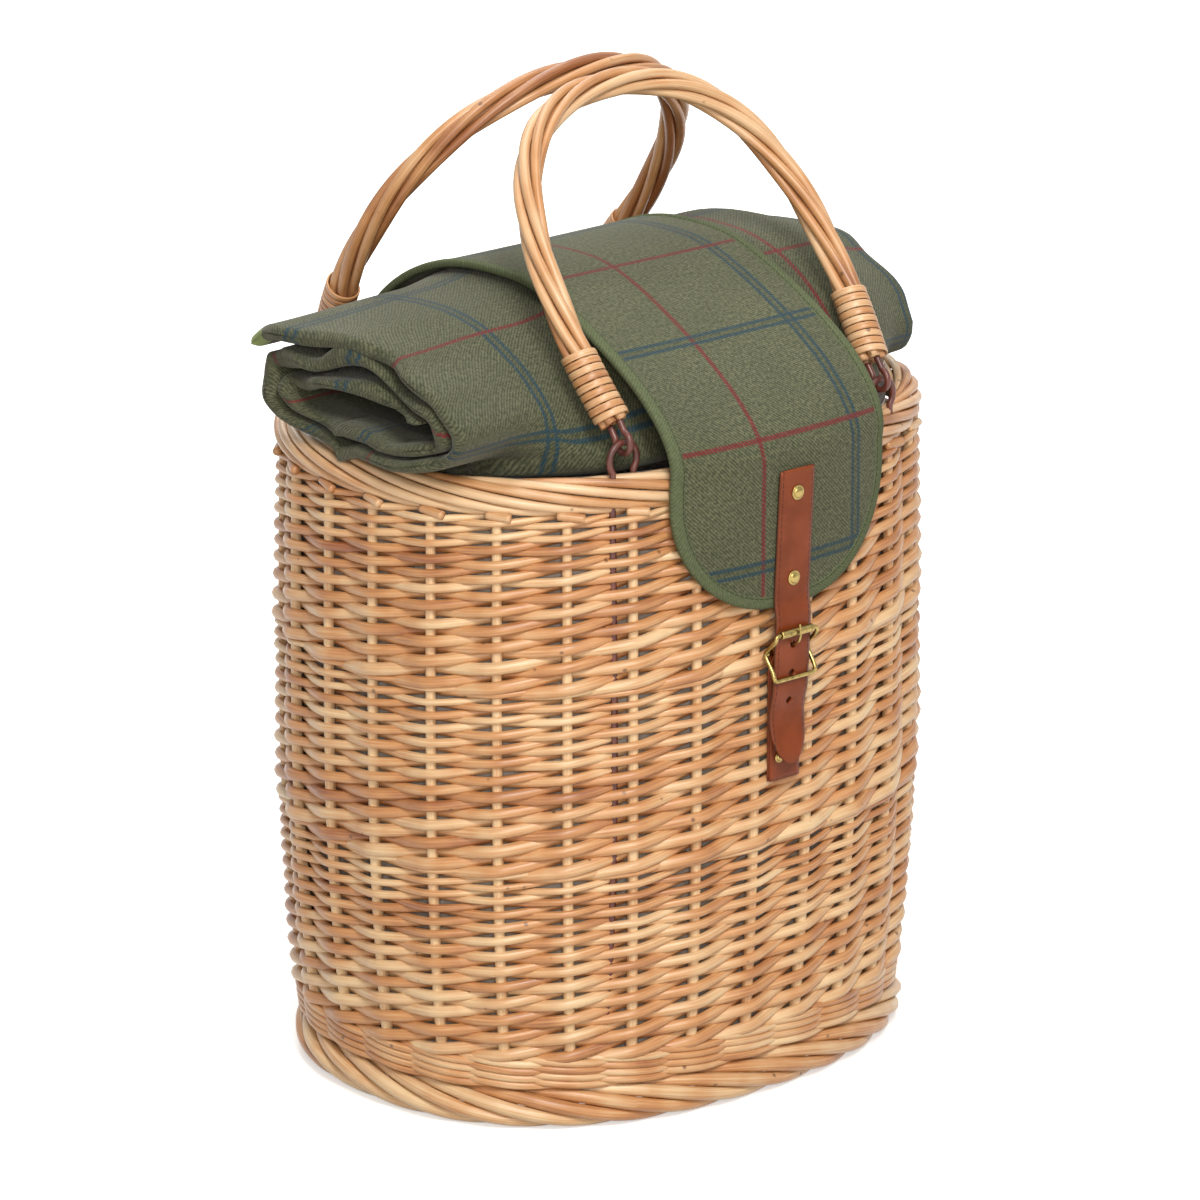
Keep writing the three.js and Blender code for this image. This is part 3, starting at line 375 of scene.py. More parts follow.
def start_nodes(owner: Material | bpy.types.World) -> Add:
    """Empties a material's or world's node tree, and returns add_node for that tree.

    Args:
        owner: The material or world.

    Returns:
        A function that adds a node to its tree.
    """
    owner.use_nodes = True
    owner.node_tree.nodes.clear()
    return partial(add_node, owner.node_tree)


def twill(add: Add, across: Socket, along: Socket, rib: float) -> Socket:
    """The slanting ribs of a twill, from -1 to 1, with rib metres from one to the next along the cloth.

    Args:
        add: Adds a node to the material.
        across: Distance across the cloth.
        along: Distance along it.
        rib: Distance from one rib to the next, along the cloth.

    Returns:
        The height of the ribs.
    """
    slant = add("Math", (across, along), operation="ADD")
    slant = add("Math", (slant, TURN / rib), operation="MULTIPLY")
    return add("Math", (slant,), operation="SINE")


def sew(
    add: Add, run: Socket, off: Socket, stitch: float, fade: tuple[float, float]
) -> tuple[Socket, Socket]:
    """A row of stitches.

    Args:
        add: Adds a node to the material.
        run: Distance along the row.
        off: Distance from the row.
        stitch: Length of a stitch with its gap.
        fade: Distances from the row where its thread begins and ends to fade.

    Returns:
        The stitches, and the whole row with its gaps.
    """
    dash = add("Math", (run, stitch / 2), operation="PINGPONG")
    dash = add("MapRange", (dash, 0.3 * MM, 0.6 * MM))
    row = add("Math", (off,), operation="ABSOLUTE")
    row = add("MapRange", (row, *fade, 1.0, 0.0))
    return add("Math", (dash, row), operation="MULTIPLY"), row


@dataclass(frozen=True)
class Finish:
    """What a piece is made of: a ground colour, tints laid over it, and a surface."""

    name: str
    ground: str

    def nodes(self, add: Add) -> tuple[Layers, Inputs]:
        """Adds the finish's own nodes.

        Args:
            add: Adds a node to the material.

        Returns:
            Each tint's share with its colour, from the lowest, and the other inputs of the surface.
        """
        raise NotImplementedError

    def material(self) -> Material:
        """Makes the material, with the tints mixed over the ground one after the other.

        Returns:
            The material.
        """
        material = bpy.data.materials.new(self.name)
        add = start_nodes(material)
        layers, surface = self.nodes(add)
        colour = linear(self.ground)
        for share, tint in layers:
            colour = add("Mix", {0: share, 6: colour, 7: linear(tint)}, 2, data_type="RGBA")
        add("OutputMaterial", (add("BsdfPrincipled", {"Base Color": colour, **surface}),))
        return material


@dataclass(frozen=True)
class WillowFinish(Finish):
    """Buff willow rod, steamed and peeled: satin skin, long fine grain, each rod its own shade."""

    middle: str
    light: str
    speck: str = "#5B3A20"
    grain_width: float = 1.1 * MM
    grain_length: float = 45 * MM
    patch: float = 30 * MM
    speck_size: float = 5 * MM
    roughness: float = 0.5

    def nodes(self, add: Add) -> tuple[Layers, Inputs]:
        """Builds the willow: rod shade, grain streaks along the rod, and small dark buds.

        Args:
            add: Adds a node to the material.

        Returns:
            The tints with their shares, from the lowest, and the surface's other inputs.
        """
        stretch = (1 / self.grain_length, 1 / self.grain_width, 1)
        along = add("Mapping", {"Vector": add("UVMap", uv_map="cut"), "Scale": stretch})
        grain = add("TexNoise", {"Vector": along, "Scale": 1.0, "Detail": 3.0})
        place = add("TexCoord", pick="Object")
        patch = add("TexNoise", {"Vector": place, "Scale": 1 / self.patch, "Detail": 2.0})
        shade = add("Attribute", pick="Fac", attribute_name="tone")
        for noise, reach in ((grain, 0.22), (patch, 0.2)):
            noise = add("MapRange", (noise, 0.3, 0.7, -reach, reach))
            shade = add("Math", (shade, noise), operation="ADD")
        low, high = add("MapRange", (shade, 0.0, 0.5)), add("MapRange", (shade, 0.5, 1.0))
        bud = add("TexVoronoi", {"Vector": place, "Scale": 1 / (4 * self.speck_size)})
        bud = add("MapRange", (bud, 0.05, 0.085, 0.75, 0.0))
        return [(low, self.middle), (high, self.light), (bud, self.speck)], {
            "Roughness": add("MapRange", (grain, 0.3, 0.7, self.roughness - 0.08, self.roughness + 0.1)),
            "Coat Weight": 0.45,
            "Coat Roughness": 0.32,
            "Normal": add("Bump", {"Height": grain, "Strength": 0.25, "Distance": 0.25 * MM}),
        }


@dataclass(frozen=True)
class TweedFinish(Finish):
    """Olive wool tweed: twill rib, flecked yarn, and a window check of red and paired blue lines."""

    ground: str = "#404634"
    fleck: str = "#717359"
    shadow: str = "#373D2B"
    red: str = "#741B28"
    blue: str = "#163C50"
    check: float = 150 * MM
    red_width: float = 3.0 * MM
    blue_width: float = 2.2 * MM
    blue_apart: float = 2.7 * MM
    across_shift: float = 0.0
    along_shift: float = 0.0
    edge_at: float = 0.0
    edge_length: float = 16 * MM
    edge: str = "#8B9A62"
    yarn: float = 2.2 * MM
    cloud: float = 50 * MM
    # A real twill rib is about 0.8 mm wide; it is drawn coarser so that it shows.
    rib: float = 2.4 * MM

    def nodes(self, add: Add) -> tuple[Layers, Inputs]:
        """Builds the tweed on the cut's own UV: U across the cloth and V along it, in metres.

        Args:
            add: Adds a node to the material.

        Returns:
            The tints with their shares, from the lowest, and the surface's other inputs.
        """
        uv = add("UVMap", uv_map="cut")
        across, along, _ = add("SeparateXYZ", (uv,)).node.outputs
        rib = twill(add, across, along, self.rib)
        yarn = add("TexNoise", {"Vector": uv, "Scale": 1 / self.yarn, "Detail": 4.0, "Roughness": 0.85})
        cloud = add("TexNoise", {"Vector": uv, "Scale": 1 / self.cloud, "Detail": 3.0})
        mixed = add("Math", (rib, 0.07, yarn), operation="MULTIPLY_ADD")
        layers = [
            (add("MapRange", (mixed, 0.42, 0.62)), self.fleck),
            (add("MapRange", (cloud, 0.35, 0.65, 0.0, 0.22)), self.shadow),
        ]
        thread = add("MapRange", (rib, -0.4, 0.5, 0.3, 1.0))
        for cut, shift in ((across, self.across_shift), (along, self.along_shift)):
            place = add("Math", (cut, shift), operation="SUBTRACT")
            away = add("Math", (place, self.check / 2), operation="PINGPONG")
            off = add("Math", (self.check / 2, away), operation="SUBTRACT")
            pair = add("Math", (off, self.blue_apart), operation="SUBTRACT")
            pair = add("Math", (pair,), operation="ABSOLUTE")
            red = add("MapRange", (away, 0.35 * self.red_width, 0.65 * self.red_width, 1.0, 0.0))
            blue = add("MapRange", (pair, 0.35 * self.blue_width, 0.75 * self.blue_width, 1.0, 0.0))
            layers += [
                (add("Math", (red, thread), operation="MULTIPLY"), self.red),
                (add("MapRange", (off, 0.6 * self.blue_apart, self.blue_apart, 0.22, 0.0)), self.shadow),
                (add("Math", (blue, thread), operation="MULTIPLY"), self.blue),
            ]
        if self.edge_at:
            fade = 0.4 * MM
            bound = add("MapRange", (across, -self.edge_at, fade - self.edge_at, 1.0, 0.0))
            corner = add("MapRange", (along, self.edge_length, self.edge_length + fade, 1.0, 0.0))
            layers.append((add("Math", (bound, corner), operation="MULTIPLY"), self.edge))
        height = add("Math", (rib, 0.3, yarn), operation="MULTIPLY_ADD")
        return layers, {
            "Roughness": 0.95,
            "Specular IOR Level": 0.2,
            "Sheen Weight": 0.15,
            "Sheen Roughness": 0.5,
            "Normal": add("Bump", {"Height": height, "Strength": 0.5, "Distance": 0.5 * MM}),
        }


@dataclass(frozen=True)
class TapeFinish(Finish):
    """Cotton twill tape folded over an edge: matt, a fine slant rib and one row of stitches."""

    ground: str = "#4F5840"
    thread: str = "#737B5A"
    # The stitches' colour is darker than the thread: the stitches with painted shade in their groove.
    sewing_and_shade: str = "#3C4330"
    rib: float = 2.4 * MM
    fuzz: float = 2 * MM
    stitch: float = 4.2 * MM
    stitch_at: float = 6.4 * MM
    stitch_width: float = 0.7 * MM

    def nodes(self, add: Add) -> tuple[Layers, Inputs]:
        """Builds the tape on its UV: U along the tape and V in from its folded edge.

        Args:
            add: Adds a node to the material.

        Returns:
            The tints with their shares, from the lowest, and the surface's other inputs.
        """
        uv = add("UVMap", uv_map="cut")
        run, inward, _ = add("SeparateXYZ", (uv,)).node.outputs
        rib = twill(add, run, inward, self.rib)
        fuzz = add("TexNoise", {"Vector": uv, "Scale": 1 / self.fuzz, "Detail": 2.0})
        lit = add("Math", (rib, 0.15, fuzz), operation="MULTIPLY_ADD")
        lit = add("MapRange", (lit, 0.3, 0.8, 0.0, 0.55))
        off = add("Math", (inward, self.stitch_at), operation="SUBTRACT")
        sewn, _ = sew(add, run, off, self.stitch, (0.4 * self.stitch_width, 0.7 * self.stitch_width))
        height = add("Math", (rib, 0.25, sewn), operation="MULTIPLY_ADD")
        # Painted shade: the stitch row's dark colour stands in for the shadow in its groove.
        return [(lit, self.thread), (sewn, self.sewing_and_shade)], {
            "Roughness": 0.9,
            "Specular IOR Level": 0.25,
            "Normal": add("Bump", {"Height": height, "Strength": 0.5, "Distance": 0.4 * MM}),
        }


@dataclass(frozen=True)
class LeatherFinish(Finish):
    """Smooth vegetable-tanned strap leather: waxed face, fine pores, darker cut edges."""

    ground: str = "#823A14"
    deep: str = "#6A2E0E"
    edge: str = "#54280F"
    thread: str = "#4A1F0D"
    half_width: float = 13.5 * MM
    stitched: bool = True
    cloud: float = 18 * MM
    pore: float = 1.3 * MM
    stitch: float = 4.0 * MM
    stitch_in: float = 2.2 * MM

    def nodes(self, add: Add) -> tuple[Layers, Inputs]:
        """Builds the leather on its UV: U along the strap and V across it from its middle.

        Args:
            add: Adds a node to the material.

        Returns:
            The tints with their shares, from the lowest, and the surface's other inputs.
        """
        uv = add("UVMap", uv_map="cut")
        run, across, _ = add("SeparateXYZ", (uv,)).node.outputs
        cloud = add("TexNoise", {"Vector": uv, "Scale": 1 / self.cloud, "Detail": 4.0})
        pores = add("TexVoronoi", {"Vector": uv, "Scale": 1 / self.pore})
        out = add("Math", (across,), operation="ABSOLUTE")
        rim = add("MapRange", (out, self.half_width - 1.2 * MM, self.half_width - 0.2 * MM))
        layers = [(add("MapRange", (cloud, 0.3, 0.7)), self.deep), (rim, self.edge)]
        height = add("Math", (pores, 0.35), operation="MULTIPLY")
        if self.stitched:
            off = add("Math", (out, self.half_width - self.stitch_in), operation="SUBTRACT")
            sewn, row = sew(add, run, off, self.stitch, (0.25 * MM, 0.5 * MM))
            layers.append((sewn, self.thread))
            groove = add("Math", (sewn, row), operation="SUBTRACT")
            height = add("Math", (height, groove), operation="ADD")
        return layers, {
            "Roughness": add("MapRange", (cloud, 0.3, 0.7, 0.42, 0.58)),
            "Specular IOR Level": 0.3,
            "Normal": add("Bump", {"Height": height, "Strength": 0.4, "Distance": 0.3 * MM}),
        }


@dataclass(frozen=True)
class BrassFinish(Finish):
    """Brass-plated steel wire and stampings, tumbled bright: warm reflections, faint scuffs."""

    name: str = "brass_plated_steel"
    ground: str = "#A8935A"
    dull: str = "#77673E"
    scuff: float = 3 * MM

    def nodes(self, add: Add) -> tuple[Layers, Inputs]:
        """Builds the brass with scuffs that change its colour and gloss a little.

        Args:
            add: Adds a node to the material.

        Returns:
            The tints with their shares, from the lowest, and the surface's other inputs.
        """
        place = add("TexCoord", pick="Object")
        scuffs = add("TexNoise", {"Vector": place, "Scale": 1 / self.scuff, "Detail": 4.0})
        worn = add("MapRange", (scuffs, 0.45, 0.75))
        return [(worn, self.dull)], {
            "Metallic": 1.0,
            "Roughness": add("MapRange", (scuffs, 0.3, 0.7, 0.2, 0.36)),
        }


@dataclass(frozen=True)
class WireFinish(Finish):
    """Steel wire in a brown plastic coat: smooth and half glossy, a little uneven."""

    name: str = "plastic_coated_wire"
    ground: str = "#6B3B31"
    deep: str = "#4C2721"
    cloud: float = 12 * MM
    peel: float = 1.2 * MM

    def nodes(self, add: Add) -> tuple[Layers, Inputs]:
        """Builds the coated wire with slow colour changes and a fine orange peel.

        Args:
            add: Adds a node to the material.

        Returns:
            The tints with their shares, from the lowest, and the surface's other inputs.
        """
        place = add("TexCoord", pick="Object")
        cloud = add("TexNoise", {"Vector": place, "Scale": 1 / self.cloud, "Detail": 2.0})
        peel = add("TexNoise", {"Vector": place, "Scale": 1 / self.peel, "Detail": 1.0})
        mixed = add("MapRange", (cloud, 0.35, 0.65))
        return [(mixed, self.deep)], {
            "Roughness": add("MapRange", (cloud, 0.3, 0.7, 0.32, 0.42)),
            "Normal": add("Bump", {"Height": peel, "Strength": 0.1, "Distance": 0.1 * MM}),
        }


@dataclass(frozen=True)
class LinerFinish(Finish):
    """Grey woven polyester over foam: matt plain weave, quilted in a wide diamond."""

    name: str = "grey_insulated_polyester"
    # The pale ground is partly the cloth's own light grey and partly painted light, lifting the liner that
    # shows in the shaded gaps between the rods.
    ground: str = "#D0C9C3"
    shadow: str = "#B5AEA8"
    cloud: float = 30 * MM
    quilt: float = 60 * MM
    seam: float = 6 * MM
    # The real weave is about 0.4 mm; it is drawn coarser so that it shows.
    thread: float = 1.5 * MM

    def nodes(self, add: Add) -> tuple[Layers, Inputs]:
        """Builds the cloth on its UV: U round the liner and V down its wall.

        Args:
            add: Adds a node to the material.

        Returns:
            The tints with their shares, from the lowest, and the surface's other inputs.
        """
        uv = add("UVMap", uv_map="cut")
        cuts = add("SeparateXYZ", (uv,)).node.outputs[:2]
        waves = []
        for cut in cuts:
            wave = add("Math", (cut, TURN / self.thread), operation="MULTIPLY")
            waves.append(add("Math", (wave,), operation="SINE"))
        weave = add("Math", tuple(waves), operation="MULTIPLY")
        seams = []
        for way in ("ADD", "SUBTRACT"):
            slant = add("Math", tuple(cuts), operation=way)
            away = add("Math", (slant, self.quilt / 2), operation="PINGPONG")
            seams.append(add("MapRange", (away, 0.0, self.seam)))
        quilt = add("Math", tuple(seams), operation="MULTIPLY")
        cloud = add("TexNoise", {"Vector": uv, "Scale": 1 / self.cloud, "Detail": 3.0})
        dim = add("MapRange", (cloud, 0.3, 0.7))
        height = add("Math", (weave, 0.06, quilt), operation="MULTIPLY_ADD")
        return [(dim, self.shadow)], {
            "Roughness": 0.85,
            "Specular IOR Level": 0.3,
            "Normal": add("Bump", {"Height": height, "Strength": 0.6, "Distance": 1.5 * MM}),
        }


# Woven body


@dataclass
class OvalPlan:
    """The basket's oval: a superellipse whose stakes stand evenly round its rim."""

    exponent: float = 2.3
    half_length: float = 200 * MM
    half_depth: float = 162 * MM
    stakes: int = 28
    stake_x: float = -99 * MM

    def __post_init__(self) -> None:
        """Measures the rim, so that a share of its length gives an angle, and finds the first stake."""
        self.angles = np.linspace(0, TURN, 4001)
        rim = self.spot(self.angles, self.half_length, self.half_depth)
        run = run_along(rim)
        self.length = float(run[-1])
        self.shares = run / self.length
        front = (rim[:, 1] < 0) & (np.abs(rim[:, 0] - self.stake_x) < 1 * MM)
        self.first = float(self.shares[front].mean())

    def spot(self, angle: Array, half_length: Array, half_depth: Array) -> Array:
        """The oval's point at an angle, (..., 2): half sizes times signed powers of cos and sin.

        Args:
            angle: Angles in radians.
            half_length: Half length of the oval.
            half_depth: Half depth of the oval.

        Returns:
            The points, (..., 2).
        """
        power = 2 / self.exponent
        x = half_length * signed_power(np.cos(angle), power)
        y = half_depth * signed_power(np.sin(angle), power)
        return np.stack(np.broadcast_arrays(x, y), axis=-1)

    def angle(self, stake: Array) -> Array:
        """The angle at a count of stakes from the first one, by length round the rim."""
        return np.interp((self.first + stake / self.stakes) % 1.0, self.shares, self.angles)

    def share(self, x: Array, half_length: float) -> Array:
        """The oval's depth at x as a share of its depth in the middle."""
        return np.maximum(0, 1 - np.abs(x / half_length) ** self.exponent) ** (1 / self.exponent)

    def beside(self, stake: Array, z: Array, half: tuple[Array, Array], inset: Array) -> Array:
        """Points inside the oval by inset, measured square to it.

        Args:
            stake: Counts of stakes from the first one.
            z: Heights.
            half: Half length and half depth of the oval at those heights.
            inset: Distance in from the oval; negative is outside.

        Returns:
            The points, (..., 3).
        """
        stake, z, inset = np.broadcast_arrays(stake, z, inset)
        flat = self.spot(self.angle(stake), *half)
        sizes = np.stack(np.broadcast_arrays(*half), axis=-1)
        normal = unit(signed_power(flat / sizes, self.exponent - 1) / sizes)
        flat = flat - normal * inset[..., None]
        return np.concatenate([flat, z[..., None]], axis=-1)


@dataclass(frozen=True)
class Rope:
    """Sizes of rods laid round each other along the oval.

    inset is the distance of the rope's middle in from the oval, and reach that of the rods from the
    rope's middle, across and up. radius is a rod's in front; it is thinner behind. floats has no factor
    in common with strands, so that one closed line makes the whole rope. tones are those of the darkest
    and the lightest float.
    """

    inset: float
    reach: tuple[float, float]
    radius: float
    strands: int
    floats: int
    tones: tuple[float, float]


@dataclass
class WovenBody:
    """Base, plaited foot, wale, three bands of French rand, and the rolled border."""

    plan: OvalPlan
    height: float = 400 * MM
    rim: tuple[float, float] = (200 * MM, 162 * MM)
    belly: tuple[float, float] = (201 * MM, 163 * MM)
    belly_height: float = 215 * MM
    base: tuple[float, float] = (185 * MM, 151 * MM)
    neck: tuple[float, float] = (198.5 * MM, 160.5 * MM)
    foot: tuple[float, float] = (191 * MM, 157 * MM)
    middle: float = 7.1 * MM
    swing: float = 4.6 * MM
    stake_radius: float = 3.3 * MM
    stake_inset: float = 5.9 * MM
    butt_radius: float = 3.9 * MM
    tip_radius: float = 2.1 * MM
    rows: tuple[int, ...] = (12, 11, 10)
    levels: tuple[float, ...] = (44.6 * MM, 162 * MM, 273 * MM, 375.5 * MM)
    band_gaps: tuple[float, float] = (2.6 * MM, 1.6 * MM)
    stake_span: tuple[float, float] = (28 * MM, 384 * MM)
    wale: Rope = Rope(7.1 * MM, (4.4 * MM, 1.5 * MM), 2.6 * MM, 3, 28, (0.3, 0.9))
    wale_rows: tuple[float, ...] = (28.8 * MM, 33.4 * MM, 38.0 * MM, 42.6 * MM)
    plait: Rope = Rope(12.2 * MM, (7.6 * MM, 8.8 * MM), 4.2 * MM, 6, 29, (0.5, 1.0))
    plait_z: float = 13.3 * MM
    roll: Rope = Rope(10.4 * MM, (6.9 * MM, 8.4 * MM), 2.9 * MM, 8, 29, (0.3, 1.0))
    roll_z: float = 388.4 * MM
    cut_end_z: float = 378.6 * MM
    base_rings: int = 21
    base_pitch: float = 6 * MM
    base_z: float = 12 * MM
    base_half: tuple[float, float] = (167 * MM, 131 * MM)
    base_radius: float = 2.7 * MM
    base_swing: float = 2.3 * MM
    stick_from: tuple[float, float] = (44 * MM, 7 * MM)
    stick_to: tuple[float, float] = (168 * MM, 132 * MM)
    stick_radius: float = 2.4 * MM
    seed: int = 7

    def half(self, z: Array) -> tuple[Array, Array]:
        """Outer half sizes of the wall: a parabola from the belly down to the base and up to the neck.

        Args:
            z: Heights.

        Returns:
            Half lengths and half depths at those heights.
        """
        z = np.asarray(z, float)
        down = z < self.belly_height
        above = (z - self.belly_height) / (self.height - self.belly_height)
        away = np.where(down, z / self.belly_height - 1, above)
        sizes = zip(self.belly, self.base, self.neck)
        long, deep = (belly + (np.where(down, base, neck) - belly) * away**2 for belly, base, neck in sizes)
        return long, deep

    def rand(self, low: float, high: float, rows: int, rng: np.random.Generator) -> Skin:
        """One band of French rand: a rod starts at each stake and climbs one row for every two stakes.

        Each rod goes straight from the front of one stake to the back of the next and bends there. Rods
        taper from butt to tip, and the rows close up with them.

        Args:
            low: Height of the first row.
            high: Height of the last row.
            rows: Rows in the band.
            rng: Source of each rod's shade and unevenness.

        Returns:
            The band's rods.
        """
        count, span = self.plan.stakes, 2 * rows
        step = np.linspace(-0.9, span + 0.9, (span + 2) * 8)
        first = np.arange(count)[:, None]
        climb = step / span
        tight = self.tip_radius / self.butt_radius * 1.1
        z = low + (high - low) * (1 - tight**climb) / (1 - tight)
        # Each rod wanders a little up and down, and in and out.
        wander = rng.uniform(0, TURN, (count, 1))
        z = z + 0.5 * MM * np.sin(1.7 * step + wander)
        thick = self.butt_radius + (self.tip_radius - self.butt_radius) * np.clip(climb, 0, 1)
        thick = thick * rng.uniform(0.92, 1.08, (count, 1))
        # A triangle wave with its peaks a little rounded.
        crisp = 0.98
        zigzag = np.arcsin(crisp * np.cos(math.pi * step)) / math.asin(crisp)
        out = self.swing * zigzag + 0.3 * MM * np.sin(0.9 * step + 2 * wander)
        paths = self.plan.beside(first + step, z, self.half(z), self.middle - out)
        tone = rng.uniform(0.3, 0.85, (count, 1)) + 0.1 * np.sin(0.35 * step + wander)
        return tubes(paths, thick, 8, UP, tone)

    def rope(self, rope: Rope, half: tuple[Array, Array], z: float, rng: np.random.Generator) -> Skin:
        """Rods laid round each other along the oval.

        One closed line runs as many times round the oval as there are strands, and circles the oval's
        line once for each float. On the outside its floats fall to the right.

        Args:
            rope: Sizes of the rope.
            half: Half sizes of the oval.
            z: Height of the rope's middle.
            rng: Source of each float's shade.

        Returns:
            The rope as one closed rod.
        """
        count, fine = self.plan.stakes, 9
        stake = np.arange(rope.strands * count * fine) / fine
        circle = -TURN * rope.floats * stake / (rope.strands * count)
        out = rope.reach[0] * np.cos(circle)
        up = rope.reach[1] * np.sin(circle)
        path = self.plan.beside(stake, z + up, half, rope.inset - out)
        thick = rope.radius * (0.9 + 0.1 * np.cos(circle))
        turn = np.round(-circle / TURN).astype(int) % rope.floats
        tone = rng.uniform(*rope.tones, rope.floats)[turn]
        return tubes(path[None], thick[None], 9, UP, tone[None], closed=True)

    def build_walls(self, willow: Material) -> None:
        """Makes the stakes and the three bands of rods.

        Args:
            willow: Willow of the wall and the foot.
        """
        rng = np.random.default_rng(self.seed)
        count, points = self.plan.stakes, 30
        bands = zip(("wall_lower", "wall_middle", "wall_upper"), self.levels, self.levels[1:], self.rows)
        for name, low, high, rows in bands:
            band = self.rand(low + self.band_gaps[0], high - self.band_gaps[1], rows, rng)
            dress(mesh_object(f"rand_{name[5:]}", [band], willow), "basket", Slot.WILLOW, name)
        z = np.linspace(*self.stake_span, points)
        stake = np.arange(count)[:, None] + rng.uniform(-0.03, 0.03, (count, 1))
        paths = self.plan.beside(stake, z, self.half(z), self.stake_inset)
        thick = np.linspace(1.06, 0.92, points) * self.stake_radius
        # Painted light: the stakes take the lightest tones, lifting them out of the shade between the rods.
        stakes = tubes(paths, thick, 10, np.array([0, 1.0, 0.2]), rng.uniform(0.8, 1.0, (count, 1)))
        dress(mesh_object("stakes", [stakes], willow), "basket", Slot.WILLOW)

    def build_foot(self, willow: Material) -> None:
        """Makes the wale, the plaited foot under it and the woven base.

        Args:
            willow: Willow of the wall and the foot.
        """
        rng = np.random.default_rng(self.seed + 1)
        wale = [self.rope(self.wale, self.half(z), z, rng) for z in self.wale_rows]
        dress(mesh_object("wale", wale, willow), "basket", Slot.WILLOW, "upset_wale")
        plait = self.rope(self.plait, self.foot, self.plait_z, rng)
        dress(mesh_object("foot_plait", [plait], willow), "basket", Slot.WILLOW, "foot_border")
        count, fine = self.plan.stakes, 6
        ring = np.arange(self.base_rings)[:, None]
        inset = ring * self.base_pitch
        stake = np.arange(count * fine)[None] / fine
        over = np.cos(math.pi * (stake + ring))
        half = tuple(size - inset + 0 * stake for size in self.base_half)
        rings = self.plan.beside(stake, self.base_z + self.base_swing * over, half, 2.8 * MM)
        tone = rng.uniform(0.25, 0.75, (self.base_rings, 1))
        weave = tubes(rings, self.base_radius, 7, UP, tone, closed=True)
        inner = self.plan.beside(np.arange(count), self.base_z, self.stick_from, 0)
        outer = self.plan.beside(np.arange(count), self.base_z, self.stick_to, 0.5 * MM)
        share = np.linspace(0, 1, 8)[None, :, None]
        sticks = inner[:, None] + share * (outer - inner)[:, None]
        sticks = tubes(sticks, self.stick_radius, 7, UP, rng.uniform(0.3, 0.7, (count, 1)))
        dress(mesh_object("base_weave", [weave, sticks], willow), "basket", Slot.WILLOW, "woven_base")

    def build_border(self, pale: Material) -> None:
        """Makes the rolled border, with the cut ends of its rods below it.

        Args:
            pale: Pale willow of the border and the handles.
        """
        rng = np.random.default_rng(self.seed + 2)
        roll = self.rope(self.roll, self.rim, self.roll_z, rng)
        each = (self.plan.stakes, 1)
        share = np.linspace(0, 1, 9)
        drop = rng.uniform(0.5, 2.0, each) * MM
        z = self.cut_end_z - drop * share
        step = np.arange(each[0])[:, None] - 0.12 + (0.3 + rng.uniform(0, 0.12, each)) * share
        ends = self.plan.beside(step, z, self.half(z), 4.4 * MM - 3.4 * MM * share)
        thick = rng.uniform(2.4, 2.9, each) * MM
        ends = tubes(ends, thick, 9, UP, rng.uniform(0.4, 0.9, each))
        dress(mesh_object("rolled_border", [roll, ends], pale), "basket", Slot.PALE_WILLOW, "top_border")

    def build(self, willow: Material, pale: Material) -> None:
        """Makes the whole woven body.

        Args:
            willow: Willow of the wall and the foot.
            pale: Pale willow of the border and the handles.
        """
        self.build_walls(willow)
        self.build_foot(willow)
        self.build_border(pale)


@dataclass
class Liner:
    """Padded cup inside the weave, with a bound lip."""

    plan: OvalPlan
    woven: WovenBody
    thickness: float = 6 * MM
    floor: float = 18.4 * MM
    top: float = 391.8 * MM
    lip_radius: float = 3.2 * MM
    wall_inset: float = 14.5 * MM
    rim_inset: float = 21.5 * MM
    foot_inset: float = 24.5 * MM
    wall_span: tuple[float, float] = (52 * MM, 352 * MM)
    neck_span: tuple[float, float] = (354 * MM, 374 * MM)
    lip_from: float = 356 * MM

    def loops(self, inner: float) -> Array:
        """The cup's wall as half length, half depth and height, from the floor to the lip.

        Args:
            inner: Distance inside the outer face.

        Returns:
            Rows of (half length, half depth, height).
        """
        z = np.concatenate([np.linspace(*self.wall_span, 22), np.linspace(self.lip_from, self.top, 10)])
        neck = smooth(*self.neck_span, z)
        turn = quarter(8)[:-1]
        bottom = self.floor + inner
        columns = []
        for side, rim, foot in zip(self.woven.half(z), self.woven.rim, self.woven.foot):
            side = (side - self.wall_inset) * (1 - neck) + (rim - self.rim_inset) * neck - inner
            foot = foot - self.foot_inset - inner
            columns.append(np.concatenate([foot + (side[0] - foot) * np.sin(turn), side]))
        columns.append(np.concatenate([bottom + (z[0] - bottom) * (1 - np.cos(turn)), z]))
        return np.stack(columns, axis=1)

    def build(self, cloth: Material, tape: Material) -> None:
        """Makes the cup as one closed skin, floor included, and the tape round its lip.

        Args:
            cloth: Cloth of the cup.
            tape: Tape of its lip.
        """
        angle = circle(120)
        shrink = np.array([0.02, 0.35, 0.7, 0.9])[:, None]
        outer, inner = self.loops(0.0), self.loops(self.thickness)
        # The floor's rows, from near its middle out to the wall.
        floors = (outer[0], inner[0])
        low, high = (np.concatenate([shrink * row[:2], 0 * shrink + row[2]], axis=1) for row in floors)
        rows = np.concatenate([low, outer, inner[::-1], high[::-1]])
        flat = self.plan.spot(angle[None], rows[:, :1], rows[:, 1:2])
        points = np.concatenate([flat, np.broadcast_to(rows[:, 2:, None], (*flat.shape[:2], 1))], axis=-1)
        girth = self.plan.length * angle / TURN
        cup = mesh_object("liner_cup", [sweep(points, girth[None], run_along(points[:, 0])[:, None])], cloth)
        dress(cup, "basket", Slot.LINER, "liner")
        stake = np.arange(240) * self.plan.stakes / 240
        path = self.plan.beside(stake, self.top, tuple(outer[-1, :2]), self.thickness / 2)
        lip = tubes(path[None], self.lip_radius, 10, UP, closed=True)
        dress(mesh_object("liner_lip_tape", [lip], tape), "basket", Slot.TAPE)


# Handles


